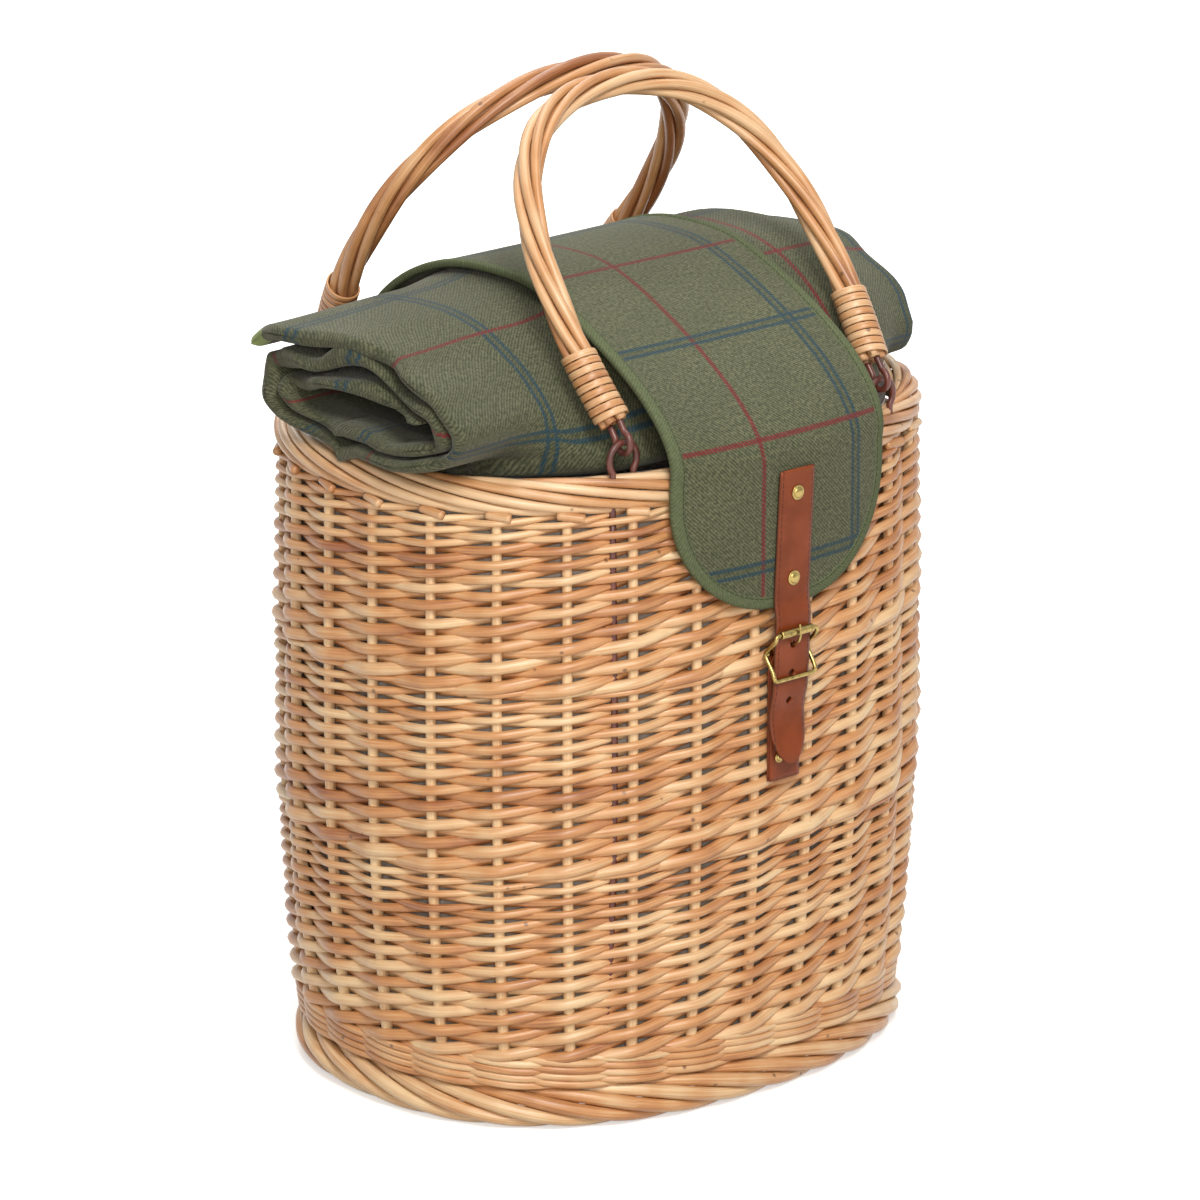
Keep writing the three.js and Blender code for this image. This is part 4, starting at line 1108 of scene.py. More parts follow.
@dataclass
class Handle:
    """A bow of twisted rods on wire eyes, with a skein binding at each end."""

    end: End
    lean: float
    rise: float
    bow: float
    bow_height: float
    crown_reach: float
    pivot: tuple[float, float] = (135.23 * MM, 418 * MM)
    half_span: float = 100 * MM
    eye_length: float = 12 * MM
    eye_reach: float = 6.4 * MM
    pin_reach: float = 10.2 * MM
    loop: float = 40
    wire: float = 2.0 * MM
    # Painted shade: darkens the rods and bindings of a handle that lies in shadow.
    shade: float = 0.0
    rods: int = 5
    rod_radius: float = 3.25 * MM
    rod_ring: float = 5.7 * MM
    core_radius: float = 2.9 * MM
    turns: float = -2.0
    skein_turns: int = 9
    skein_pitch: float = 4.7 * MM
    skein_width: float = 4.1 * MM
    skein_thickness: float = 1.3 * MM
    skein_play: float = 0.35 * MM
    end_gap: float = 0.3 * MM
    pin_foot: float = 374 * MM
    stay_settled: float = 350 * MM
    stay_foot: float = 40 * MM

    @property
    def body(self) -> str:
        """The body that carries the handle."""
        return f"{self.end.name.lower()}_handle"

    def label(self, side: int) -> str:
        """The name of one end of the handle; side is 1 on the left."""
        return f"{self.end.name.lower()}_{'left' if side > 0 else 'right'}"

    def place(self, points: Array) -> Array:
        """Leans points of the handle's own plane back over the basket, about the wire eyes.

        Args:
            points: Points in the handle's plane, (..., 3), with Z up from the eyes.

        Returns:
            The points where the handle rests.
        """
        angle = self.end.value * math.radians(self.lean)
        x, y, z = np.moveaxis(points, -1, 0)
        out = y * math.cos(angle) - z * math.sin(angle) + self.end.value * self.pivot[0]
        up = y * math.sin(angle) + z * math.cos(angle) + self.pivot[1]
        return np.stack([x, out, up], axis=-1)

    def line(self, count: int) -> Array:
        """The bow's centre line from its left end over the crown to its right end.

        Args:
            count: Number of points.

        Returns:
            Points spaced evenly along two mirrored Bezier curves.
        """
        start = self.eye_length + self.end_gap
        half = np.array([
            [-self.half_span, 0, start],
            [-self.half_span - self.bow, 0, self.bow_height],
            [-self.crown_reach, 0, self.rise],
            [0, 0, self.rise],
        ])
        left = bezier(half, 120)
        right = left[::-1] * np.array([-1, 1, 1])
        return even(np.concatenate([left, right[1:]]), count)

    def frame(self, line: Array) -> tuple[Array, Array]:
        """Unit vectors square to the line: in the bow's plane, and across it.

        Args:
            line: Points of the centre line, (count, 3).

        Returns:
            The two vectors at each point.
        """
        along = unit(np.gradient(line, axis=0))
        across = np.broadcast_to(BACK, along.shape)
        return np.cross(across, along), across

    def build_rods(self, pale: Material, rng: np.random.Generator) -> None:
        """Twists the rods round the bow: each circles the centre line while it runs along it.

        Args:
            pale: Pale willow of the border and the handles.
            rng: Source of each rod's shade and thickness.
        """
        line = self.line(170)
        inward, across = self.frame(line)
        share = np.linspace(0, 1, len(line))
        angle = TURN * (np.arange(self.rods)[:, None] / self.rods + self.turns * share)
        wobble = 1 + 0.03 * np.sin(9 * share + 5 * np.arange(self.rods)[:, None])
        out = np.cos(angle)[..., None] * inward + np.sin(angle)[..., None] * across
        paths = line + (self.rod_ring * wobble)[..., None] * out
        thick = self.rod_radius * rng.uniform(0.93, 1.05, (self.rods, 1)) * (0.97 + 0.03 * np.cos(7 * share))
        # The rods darken towards their ends: painted shade on the legs, which stand in shadow.
        near = smooth(0.3, 0.02, np.minimum(share, 1 - share))
        guide = np.array([0, 1.0, 0.31])
        # Painted shade: shade lowers the tone of a whole handle that lies in shadow.
        tone = rng.uniform(0.25, 0.9, (self.rods, 1)) - self.shade - 0.2 * near
        twisted = tubes(self.place(paths), thick, 10, guide, tone)
        core = tubes(self.place(line)[None], self.core_radius, 8, guide, 0.2)
        name = self.end.name.lower()
        rods = mesh_object(f"handle_rods_{name}", [twisted, core], pale)
        dress(rods, self.body, Slot.PALE_WILLOW, f"handle_{name}")

    def build_binding(self, side: int, pale: Material) -> None:
        """Winds a flat skein round one end of the bow: a flat section carried along a helix.

        Args:
            side: 1 for the left end and -1 for the right one.
            pale: Pale willow of the border and the handles.
        """
        line = self.line(400)[:: side]
        fine = 28
        steps = np.arange(self.skein_turns * fine + 1) / fine
        centre = walk(line, self.skein_width / 2 + self.skein_pitch * steps)
        inward, across = self.frame(centre)
        along = np.cross(inward, across)
        angle = TURN * steps
        out = np.cos(angle)[:, None] * across + np.sin(angle)[:, None] * inward
        reach = self.rod_ring + self.rod_radius + self.skein_play + self.skein_thickness / 2
        ring = circle(12)
        wide = self.skein_width / 2 * signed_power(np.cos(ring), 0.5)
        thick = self.skein_thickness / 2 * signed_power(np.sin(ring), 0.8)
        points = (
            centre[:, None]
            + (reach + thick)[None, :, None] * out[:, None]
            + (side * wide)[None, :, None] * along[:, None]
        )
        skin = sweep(self.place(points), reach * angle[:, None], wide[None])
        # Painted shade: shade darkens the skein of a handle in shadow.
        skin.tone = np.full((1, len(steps)), 0.62 - self.shade) + 0.14 * np.sin(3.1 * steps)[None]
        band = mesh_object(f"skein_{self.label(side)}", [skin], pale)
        dress(band, self.body, Slot.PALE_WILLOW, f"binding_{self.label(side)}")

    def omega(self, reach: float, centre: float, foot: float, count: int) -> tuple[Array, Array]:
        """A loop of wire that stands out from its two legs.

        Args:
            reach: Radius of the loop, negative for one at the lower end of its legs.
            centre: Height of the loop's centre above the pivot.
            foot: Height where the legs end.
            count: Points in each leg.

        Returns:
            Distances aside and heights above the pivot.
        """
        turn = np.radians(np.linspace(-self.loop, 180 + self.loop, 32))
        aside, up = -abs(reach) * np.cos(turn), reach * np.sin(turn) + centre
        legs = np.linspace(foot, up[0], count)[:-1]
        leg = np.full_like(legs, aside[0])
        return np.concatenate([leg, aside, -leg]), np.concatenate([legs, up, legs[::-1]])

    def build_wire(self, side: int, wire: Material) -> None:
        """Bends the handle's eye, and the hairpin in the border that it hangs on.

        Args:
            side: 1 for the left end and -1 for the right one.
            wire: Coat of the wires.
        """
        name, x = self.label(side), -side * self.half_span
        aside, up = self.omega(-self.eye_reach, 0, self.eye_length, 8)
        eye = self.place(np.stack([np.full_like(up, x), aside, up], axis=1))
        ring = tubes(eye[None], self.wire, 12, ASIDE)
        dress(mesh_object(f"wire_eye_{name}", [ring], wire), self.body, Slot.WIRE, f"eye_{name}")
        aside, up = self.omega(self.pin_reach, -self.pin_reach, self.pin_foot - self.pivot[1], 12)
        out = np.full_like(up, self.end.value * self.pivot[0])
        pin = np.stack([aside + x, out, up + self.pivot[1]], axis=1)
        pin = tubes(pin[None], self.wire, 12, BACK)
        dress(mesh_object(f"wire_hairpin_{name}", [pin], wire), "basket", Slot.WIRE, f"hairpin_{name}")

    def build_stay(self, side: int, woven: WovenBody, wire: Material) -> None:
        """Runs the hairpin's outer leg down inside the weave to the wale, beside a stake.

        Args:
            side: 1 for the left end and -1 for the right one.
            woven: The wall that it runs down in.
            wire: Coat of the wires.
        """
        x = -side * (self.half_span + self.pin_reach * math.cos(math.radians(self.loop)))
        z = np.linspace(self.pin_foot, self.stay_foot, 24)
        long, deep = woven.half(z)
        y = self.end.value * (deep - woven.middle) * woven.plan.share(x, long - woven.middle)
        settle = smooth(self.pin_foot, self.stay_settled, z)
        y = y * settle + self.end.value * self.pivot[0] * (1 - settle)
        path = np.stack([np.full_like(z, x), y, z], axis=1)
        stay = tubes(path[None], self.wire * 1.1, 10, np.array([0, 1.0, 0.1]))
        dress(mesh_object(f"wire_stay_{self.label(side)}", [stay], wire), "basket", Slot.WIRE)

    def build(self, woven: WovenBody, pale: Material, wire: Material) -> None:
        """Makes the handle with its bindings and wires.

        Args:
            woven: The wall that its wires run down in.
            pale: Pale willow of the border and the handles.
            wire: Coat of the wires.
        """
        self.build_rods(pale, np.random.default_rng(20 + self.end.value))
        for side in (1, -1):
            self.build_binding(side, pale)
            self.build_wire(side, wire)
            self.build_stay(side, woven, wire)


# Cloth


@dataclass
class Blanket:
    """A folded blanket rolled into a flattened spiral: its front leans back and its left end lies loose."""

    plan: OvalPlan
    left: float = -200 * MM
    right: float = 178 * MM
    depth: float = 186.46 * MM
    height: float = 95 * MM
    y: float = -10 * MM
    exponent: float = 2.4
    foot_exponent: float = 5.0
    slope: float = math.tan(math.radians(36.5))
    layer: float = 10.0 * MM
    pitch: float = 11.2 * MM
    opening: float = 3.6 * MM
    turns: float = 2.4
    outer_end: float = 14.0
    tail: float = 27.0
    bottom: float = 400.3 * MM
    flare: float = 15 * MM
    hem: float = 4.6 * MM
    sag: float = 12.2 * MM
    swell: float = 14 * MM
    round_off: float = 36 * MM
    mouth: tuple[float, float] = (174 * MM, 135 * MM)
    loose_from: float = -70 * MM
    end_from: float = -128 * MM
    other_from: float = 120 * MM
    rise_over: float = 60 * MM
    other_swell: float = 14 * MM
    tail_back: float = 7 * MM
    tail_lift: float = 3 * MM
    skin_gap: float = 0.45 * MM

    def wind_in(self, degrees: Array) -> Array:
        """How far the strip has drawn in at an angle since the roll's outer end; inner turns lie looser."""
        turns = (degrees - self.outer_end) / 360
        return self.pitch * turns + self.opening * np.maximum(0, turns - 1) ** 2

    def centre_z(self) -> float:
        """Height of the roll's middle, with its lowest turn on the border."""
        return self.bottom + self.height / 2 - float(self.wind_in(np.array(270.0)))

    def section(self, degrees: Array, inset: Array) -> tuple[Array, Array]:
        """Y and Z of the strip at an angle from the rear, inset from its outer face.

        Args:
            degrees: Angle wound so far, from the rear over the top.
            inset: Distance in from the strip's outer face.

        Returns:
            Y and Z about the middle of the oval.
        """
        deep = inset + self.wind_in(degrees)
        turn = np.radians(degrees)
        under = (np.cos(turn) < 0) & (np.sin(turn) < 0)
        power = 2 / np.where(under, self.foot_exponent, self.exponent)
        y = (self.depth / 2 - deep) * signed_power(np.cos(turn), power)
        z = (self.height / 2 - deep) * signed_power(np.sin(turn), power)
        y = y + self.slope * z * np.maximum(0, -y) / (self.depth / 2)
        return self.y + y, self.centre_z() + z

    def soften(self, x: Array, y: Array, z: Array, share: Array) -> tuple[Array, Array, Array]:
        """Settles the even spiral: the loose end spreads and folds, and the middle sags into the mouth.

        Args:
            x: Distance along the roll.
            y: Y of the even spiral.
            z: Z of the even spiral.
            share: Share of the winding, 0 at its outer end.

        Returns:
            X, Y and Z of the settled cloth.
        """
        x, y, z, share = np.broadcast_arrays(x, y, z, share)
        loose = smooth(self.loose_from, self.left, x) ** 1.3
        end = smooth(self.end_from, self.left, x)
        other = smooth(self.other_from, self.right, x)
        rise = np.clip((z - self.bottom) / self.rise_over, 0, 1)
        # Folds of the loose end: depths in millimetres, wavelengths in metres and phases.
        fold_y = 3.6 * np.sin(TURN * z / 0.066 + 0.6) + 2.2 * np.sin(TURN * (y + z) / 0.052 + 1.9)
        fold_z = 4.6 * np.sin(TURN * y / 0.083 + 2.4) + 2.4 * np.sin(TURN * (y - 1.3 * z) / 0.058 + 0.4)
        # The front of the loose end spreads outward.
        ahead = np.maximum(0, self.y - y) / (self.depth / 2)
        moved_y = y + loose * fold_y * MM - self.flare * ahead * end * rise
        # The top drops behind at the loose end, at the other end, and to the left of the flap.
        beside = smooth(-50 * MM, -105 * MM, x)
        drop = 7 * loose * smooth(-75 * MM, 10 * MM, y) + 13 * other + 8 * beside
        flat = smooth(0.2, 0.1, share)
        moved_z = z + rise * (loose * fold_z * (1 - 0.8 * flat) - drop) * MM
        # The foot follows the brink of the mouth and sinks into it.
        low = np.clip((self.centre_z() - z) / (self.centre_z() - self.bottom), 0, 1) ** 1.5
        brink = self.mouth[1] * self.plan.share(x, self.mouth[0])
        foot = self.y - 1.1 * self.depth / 2
        reach = np.clip(-brink - foot, -self.swell, self.round_off)
        moved_y = moved_y + ahead * (low * reach + self.other_swell * other)
        moved_z = moved_z - self.sag * low * smooth(-4 * MM, 2 * MM, brink - np.abs(moved_y))
        # The strip's outer end stands off the roll.
        tail = np.clip(1 - share * 11, 0, 1)
        moved_y = moved_y + self.tail_back * tail * (0.3 + 0.7 * loose)
        moved_z = moved_z + self.tail_lift * tail
        # The layers end unevenly on both sides.
        wave = 7.3 * share * TURN
        stand = end * (3.5 * np.sin(1.3 * wave + 2.0) + 0.9 * np.sin(2.9 * wave)) - 2 * tail * end
        return x + (stand + 2.5 * other * np.sin(2.1 * wave)) * MM, moved_y, moved_z

    def build(self, tweed: Material) -> None:
        """Makes the strip: rows along the roll, and a closed section that follows the spiral.

        The section runs in along the outer face and back along the inner one. The strip thins to a
        rounded hem at both ends of the roll.

        Args:
            tweed: Cloth of the blanket.
        """
        hem = self.hem * (1 - np.cos(quarter(6)))
        body = np.linspace(self.left + self.hem, self.right - self.hem, 74)[1:-1]
        x = np.concatenate([self.left + hem, body, self.right - hem[::-1]])
        near = np.clip(np.minimum(x - self.left, self.right - x) / self.hem, 0, 1)
        full = np.maximum(0.12, np.sqrt(1 - (1 - near) ** 2))[:, None]
        count = 300
        degrees = np.linspace(self.tail, self.tail + 360 * self.turns, count)
        cap = np.linspace(0, math.pi, 9)[1:-1]
        bulge = 3.2 * np.sin(cap)
        angle = np.concatenate([degrees, degrees[-1] + 2 * bulge, degrees[::-1], degrees[0] - bulge])
        face = np.concatenate([np.full(count, -1.0), -np.cos(cap), np.full(count, 1.0), np.cos(cap)])
        middle = self.skin_gap + self.layer / 2
        y, z = self.section(angle, middle + self.layer / 2 * full * face)
        share = (angle - self.tail) / (360 * self.turns)
        points = np.stack(self.soften(x[:, None], y, z, share), axis=-1)
        flat_y, flat_z = self.section(angle, np.full_like(angle, middle))
        steps = np.hypot(np.diff(flat_y, prepend=flat_y[:1]), np.diff(flat_z, prepend=flat_z[:1]))
        run = np.cumsum(steps)
        turned = count + len(cap)
        run = np.where(np.arange(len(angle)) < turned, run, 2 * run[turned] - run)
        roll = mesh_object("rolled_blanket", [sweep(points[:, ::-1], x[:, None], run[None, ::-1])], tweed)
        dress(roll, "blanket", Slot.TWEED, "blanket_roll")


@dataclass
class Flap:
    """One tweed flap, from inside the liner's rear over the roll and down the front, edged with tape."""

    blanket: Blanket
    plan: OvalPlan
    half_width: float = 82 * MM
    thickness: float = 3.4 * MM
    corner: float = 72 * MM
    bottom: float = 308 * MM
    tail: float = 32 * MM
    rear_y: float = 131.1 * MM
    front_y: float = -165.27 * MM
    liner_top: float = 392 * MM
    brow_z: float = 394.75 * MM
    lift: float = 2.9 * MM
    tape_width: float = 8 * MM
    tape_thickness: float = 5 * MM
    hinge: tuple[float, float] = (-98.05 * MM, 469.9 * MM)
    fold: float = 16 * MM
    ripple: float = 0.5 * MM
    rear_pull: tuple[float, float] = (54 * MM, 45 * MM)
    front_pull: tuple[float, float] = (40 * MM, 34 * MM)
    front_half: float = 201 * MM
    rear_half: float = 172.5 * MM

    def __post_init__(self) -> None:
        """Lays the flap's middle line: up from the liner, over the roll, and down the front."""
        y, z = self.blanket.section(np.linspace(66, 112, 24), np.array(-self.lift))
        crown = np.stack([y, z], axis=1)
        rear_top = np.array([self.rear_y, self.liner_top])
        brow = np.array([self.front_y, self.brow_z])
        rise = unit(crown[0] - crown[1])
        fall = unit(crown[-1] - crown[-2])
        rear = [rear_top, rear_top + [0, self.rear_pull[0]], crown[0] + self.rear_pull[1] * rise, crown[0]]
        front = [crown[-1], crown[-1] + self.front_pull[0] * fall, brow + [0, self.front_pull[1]], brow]
        down = np.linspace(0, 1, 24)[1:, None]
        line = np.concatenate([
            rear_top - np.linspace(1, 0, 10)[:-1, None] * [0, self.tail],
            bezier(np.array(rear), 40)[:-1],
            crown,
            bezier(np.array(front), 60)[1:],
            brow + down * [0, self.bottom - self.brow_z],
        ])
        self.line = even(line, 321)
        self.run = run_along(self.line)
        self.length = float(self.run[-1])
        self.along = unit(np.gradient(self.line, axis=0))

    def place(self, x: Array, s: Array, lift: Array) -> Array:
        """Points of the cloth at x across, s along and lift above its middle line.

        Below the roll's middle the cloth bends round the oval, and between its ends it ripples a little.

        Args:
            x: Distance across from the middle.
            s: Distance along from the rear end.
            lift: Height above the middle line, square to it.

        Returns:
            The points, (..., 3).
        """
        x, s, lift = np.broadcast_arrays(x, s, lift)
        y, z, ty, tz = (np.interp(s, self.run, column) for column in (*self.line.T, *self.along.T))
        ripple = self.ripple * np.sin(31 * x + 14 * s) * np.sin(23 * s + 1) * smooth(0.12, 0.2, s)
        rise = lift + ripple * (1 - smooth(self.length - 0.12, self.length - 0.05, s))
        y, z = y + rise * tz, z - rise * ty
        middle = self.blanket.centre_z()
        hug = np.clip((middle - z) / (middle - self.liner_top), 0, 1)
        front = self.plan.share(x, self.front_half)
        rear = self.plan.share(x, self.rear_half)
        y = y * (1 - hug * (1 - np.where(y < 0, front, rear)))
        return np.stack([x, y, z], axis=-1)

    def bend(self, piece: bpy.types.Object) -> bpy.types.Object:
        """Bakes a piece's placement into its mesh.

        Args:
            piece: The cloth or its tape.

        Returns:
            The piece.
        """
        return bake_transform(piece)

    def build_cloth(self, tweed: Material) -> bpy.types.Object:
        """Makes the cloth as one closed grid whose bottom corners are rounded.

        Args:
            tweed: Cloth of the flap.

        Returns:
            The cloth.
        """
        reach = self.corner - self.tape_width / 2
        straight = np.linspace(0, self.length - self.corner, 150)
        turned = self.length - self.corner + reach * np.sin(quarter(30)[1:])
        s = np.concatenate([straight, turned])
        below = np.maximum(0, s - (self.length - self.corner))
        half = self.half_width - self.corner + np.sqrt(np.maximum(reach**2 - below**2, 0))
        across = np.linspace(-1, 1, 41)
        x = half[:, None] * across
        top = self.place(x, s[:, None], self.thickness / 2)
        under = self.place(x, s[:, None], -self.thickness / 2)
        points = np.concatenate([top, under[:, ::-1]], axis=1)
        u = np.concatenate([x, x[:, ::-1]], axis=1)
        cloth = mesh_object("flap_cloth", [sweep(points, u, self.length - s[:, None])], tweed)
        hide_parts("flap_rear", "flap_front")
        return self.bend(cloth)

    def build_tape(self, tape: Material) -> bpy.types.Object:
        """Folds a tape over the flap's edge: down one side, round the bottom and up the other.

        Args:
            tape: Tape of its edge.

        Returns:
            The tape.
        """
        straight = np.linspace(0, self.length - self.corner, 150)
        turn = quarter(20)[1:]
        flat = np.linspace(0, 1, 12)[1:]
        inner, low = self.half_width - self.corner, self.length - self.corner
        # Across, along, and the way inward across and along, for one half of the edge.
        half = np.stack([np.concatenate(parts) for parts in (
            (np.full_like(straight, self.half_width), inner + self.corner * np.cos(turn), inner * (1 - flat)),
            (straight, low + self.corner * np.sin(turn), np.full_like(flat, self.length)),
            (np.full_like(straight, -1.0), -np.cos(turn), 0 * flat),
            (0 * straight, -np.sin(turn), np.full_like(flat, -1.0)),
        )])
        other = half * np.array([-1, 1, -1, 1])[:, None]
        x, s, dx, ds = np.concatenate([other, half[:, -2::-1]], axis=1)
        ring = circle(18)
        inset = self.tape_width / 2 * (1 - signed_power(np.cos(ring), 0.7))
        lift = self.tape_thickness / 2 * signed_power(np.sin(ring), 0.6)
        points = self.place(x[:, None] + dx[:, None] * inset, s[:, None] + ds[:, None] * inset, lift)
        run = np.concatenate([[0], np.cumsum(np.hypot(np.diff(x), np.diff(s)))])
        edge = mesh_object("flap_edge_tape", [sweep(points, run[:, None], inset[None])], tape)
        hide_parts("flap_rear_tape_left", "flap_rear_tape_right", "flap_front_tape")
        return self.bend(edge)

    def build(self, tweed: Material, tape: Material) -> None:
        """Args:
            tweed: Cloth of the flap.
            tape: Tape of its edge.
        """
        cloth = self.build_cloth(tweed)
        edge = self.build_tape(tape)


# Strap and buckle


@dataclass
class Closure:
    """Leather strap on the flap, chape on the wall, and the roller buckle between them."""

    strap_half: float = 13.5 * MM
    strap_thickness: float = 2.2 * MM
    strap_top: float = 390 * MM
    strap_tip: float = 214.5 * MM
    strap_point: float = 25 * MM
    over_flap: float = -169.27 * MM
    over_bar: float = -171.7 * MM
    bar_y: float = -166.8 * MM
    bar_z: float = 281 * MM
    bar_radius: float = 1.3 * MM
    roller_y: float = -175.7 * MM
    roller_z: float = 294 * MM
    lower_y: float = -174.5 * MM
    lower_z: float = 266 * MM
    hole_z: float = 285.4 * MM
    hole_pitch: float = 17 * MM
    frame_half: float = 16.0 * MM
    chape_half: float = 11.5 * MM
    chape_end: float = 202 * MM
    wall_y: float = -163.4 * MM
    lean: float = 0.05
    lean_from: float = 320 * MM
    ease: tuple[float, float] = (22 * MM, 5 * MM)
    curl: float = 6.5 * MM
    curl_length: float = 40 * MM
    punch_half: float = 8 * MM
    hole_radius: float = 2.2 * MM
    chape_thickness: float = 1.5 * MM
    rivets: tuple[float, float] = (376 * MM, 325 * MM)
    rivet_radius: float = 4.5 * MM
    chape_rivet: tuple[float, float] = (-7 * MM, 216 * MM)
    chape_rivet_radius: float = 3.2 * MM
    corner: float = 2.5 * MM
    roller_radius: float = 2.5 * MM
    tongue_eye: float = 2.5 * MM
    tongue_radius: float = 0.9 * MM
    play: float = 0.3 * MM

    def aside(self, z: Array | float) -> Array | float:
        """How far the slightly slanting closure lies to the side at a height."""
        return self.lean * (z - self.lean_from)

    def band(self, line: Array, half: Array, thickness: float) -> Array:
        """A flat band along a line in the YZ plane, with rounded edges.

        Args:
            line: (rows, 2) of Y and Z.
            half: Half width for each row.
            thickness: The band's thickness.

        Returns:
            (rows, columns, 3), each row a closed section.
        """
        along = unit(np.gradient(line, axis=0))
        normal = np.stack([along[:, 1], -along[:, 0]], axis=1)
        flat = np.linspace(-1, 1, 15)
        soft = np.minimum(1, (1 - np.abs(flat)) * 9) ** 0.5
        lift = thickness / 2 * (0.45 + 0.55 * soft)
        across = np.concatenate([flat, flat[::-1]])
        lift = np.concatenate([lift, -lift])
        x = half[:, None] * across
        yz = line[:, None] + lift[None, :, None] * normal[:, None]
        return np.concatenate([x[..., None], yz], axis=-1)

    def build_strap(self, leather: Material) -> None:
        """Makes the strap: flat on the flap, out over the buckle's bar, with holes and a round point.

        Args:
            leather: Leather of the strap.
        """
        z = np.concatenate([
            np.linspace(self.strap_top, self.strap_tip + self.strap_point, 120),
            self.strap_tip + self.strap_point * (1 - np.sin(quarter(26)[1:])),
        ])
        far, near = self.ease
        out = smooth(self.roller_z + far, self.roller_z + near, z)
        back = smooth(self.lower_z - near, self.lower_z - far, z)
        curl = smooth(self.strap_tip + self.curl_length, self.strap_tip, z)
        y = self.over_flap + (self.over_bar - self.over_flap) * out * (1 - back) - self.curl * curl**2
        below = np.maximum(0, self.strap_tip + self.strap_point - z) / self.strap_point
        half = self.strap_half * np.sqrt(np.maximum(1 - below**2, 0.004))
        half = half * (1 - 0.06 * smooth(self.strap_top - 2 * MM, self.strap_top, z))
        points = self.band(np.stack([y, z], axis=1), half, self.strap_thickness)
        middle = points[:, :, 0].copy()
        points[:, :, 0] += self.aside(points[:, :, 2])
        strap = mesh_object("leather_strap", [sweep(points, -z[:, None], middle)], leather)
        spots = self.hole_z - self.hole_pitch * np.arange(3)
        turn = circle(16)
        depth = self.over_bar + self.punch_half * np.array([-1, 1])
        ring = self.hole_radius * np.stack([np.cos(turn), 0 * turn, np.sin(turn)], axis=1)
        punch = ring[None, None] + BACK * depth[None, :, None, None]
        punch = punch + UP * spots[:, None, None, None]
        punch[..., 0] += self.aside(spots)[:, None, None]
        uv = np.zeros((len(spots), 2, len(turn) + 1, 2))
        tool = mesh_object("punch", [Skin(punch[:, :, ::-1], uv, np.full((len(spots), 2), 0.1))], leather)
        # The punch cuts the holes, and the strap keeps the cut mesh.
        cut = strap.modifiers.new("holes", "BOOLEAN")
        cut.object = tool
        cut.operation = "DIFFERENCE"
        cut.solver = "EXACT"
        graph = bpy.context.evaluated_depsgraph_get()
        drilled = bpy.data.meshes.new_from_object(strap.evaluated_get(graph))
        strap.modifiers.clear()
        strap.data = drilled
        bpy.data.objects.remove(tool)
        dress(strap, "flap", Slot.LEATHER, "closing_strap")

    def build_chape(self, leather: Material) -> None:
        """Folds the chape round the buckle's bar, its two layers hanging down against the wall.

        Args:
            leather: Leather of the chape.
        """
        radius = self.bar_radius + self.play + self.chape_thickness / 2
        back = self.wall_y - self.chape_thickness / 2
        front = back - self.chape_thickness - self.play
        turn = np.radians(np.linspace(-35, 215, 22))
        loop = np.stack([self.bar_y + radius * np.cos(turn), self.bar_z + radius * np.sin(turn)], axis=1)
        throat = self.bar_z - 2.5 * radius
        down = np.linspace(self.chape_end, throat, 24)
        line = np.concatenate([
            np.stack([np.full_like(down, back), down], axis=1),
            loop,
            np.stack([np.full_like(down, front), down[::-1]], axis=1),
        ])
        points = self.band(line, np.full(len(line), self.chape_half), self.chape_thickness)
        middle = points[:, :, 0].copy()
        points[:, :, 0] += self.aside(self.bar_z)
        piece = mesh_object("leather_chape", [sweep(points, run_along(line)[:, None], middle)], leather)
        dress(piece, "basket", Slot.LEATHER, "chape")

    def rivet(self, x: float, y: float, z: float, radius: float) -> Skin:
        """A domed rivet cap with a flat rim, facing -Y: a profile turned about its own axis.

        Args:
            x: Place across.
            y: Place of its flat back.
            z: Height.
            radius: Radius of the cap.

        Returns:
            The cap.
        """
        turn = quarter(9)
        dome = np.stack([0.72 * radius * np.cos(turn), 0.7 * MM + 1.4 * MM * np.sin(turn)], axis=1)
        rim = np.array([[0.02, 0], [0.9, 0], [1.0, 0.25], [1.0, 0.5], [0.93, 0.75], [0.8, 0.7]])
        rim = rim * np.array([radius, MM])
        profile = np.concatenate([rim, dome])
        profile[-1, 0] = 0.02 * radius
        around = circle(28)
        reach, out = profile[:, :1], profile[:, 1:]
        points = np.stack(np.broadcast_arrays(
            x + reach * np.cos(around), y - out, z + reach * np.sin(around)
        ), axis=-1)
        return sweep(points[:, ::-1], reach, out)

    def build_rivets(self, brass: Material) -> None:
        """Sets the two rivets that hold the strap to the flap, and the one in the chape.

        Args:
            brass: Brass of the rivets.
        """
        face = self.over_flap - self.strap_thickness / 2 - 0.1 * MM
        for name, z in zip(("flap_rivet_upper", "flap_rivet_lower"), self.rivets):
            cap = self.rivet(self.aside(z), face, z, self.rivet_radius)
            dress(mesh_object(f"cap_{name}", [cap], brass), "flap", Slot.BRASS, name)
        face = self.wall_y - 2 * self.chape_thickness - self.play - 0.2 * MM
        x, z = self.chape_rivet
        cap = self.rivet(x, face, z, self.chape_rivet_radius)
        dress(mesh_object("cap_chape_rivet", [cap], brass), "basket", Slot.BRASS, "chape_rivet")

    def build_buckle(self, brass: Material) -> None:
        """Bends the wire frame with its centre bar, and makes the roller and the tongue on it.

        Args:
            brass: Brass of the buckle.
        """
        side, corner = self.frame_half, self.corner
        end = side - corner - 1.2 * MM

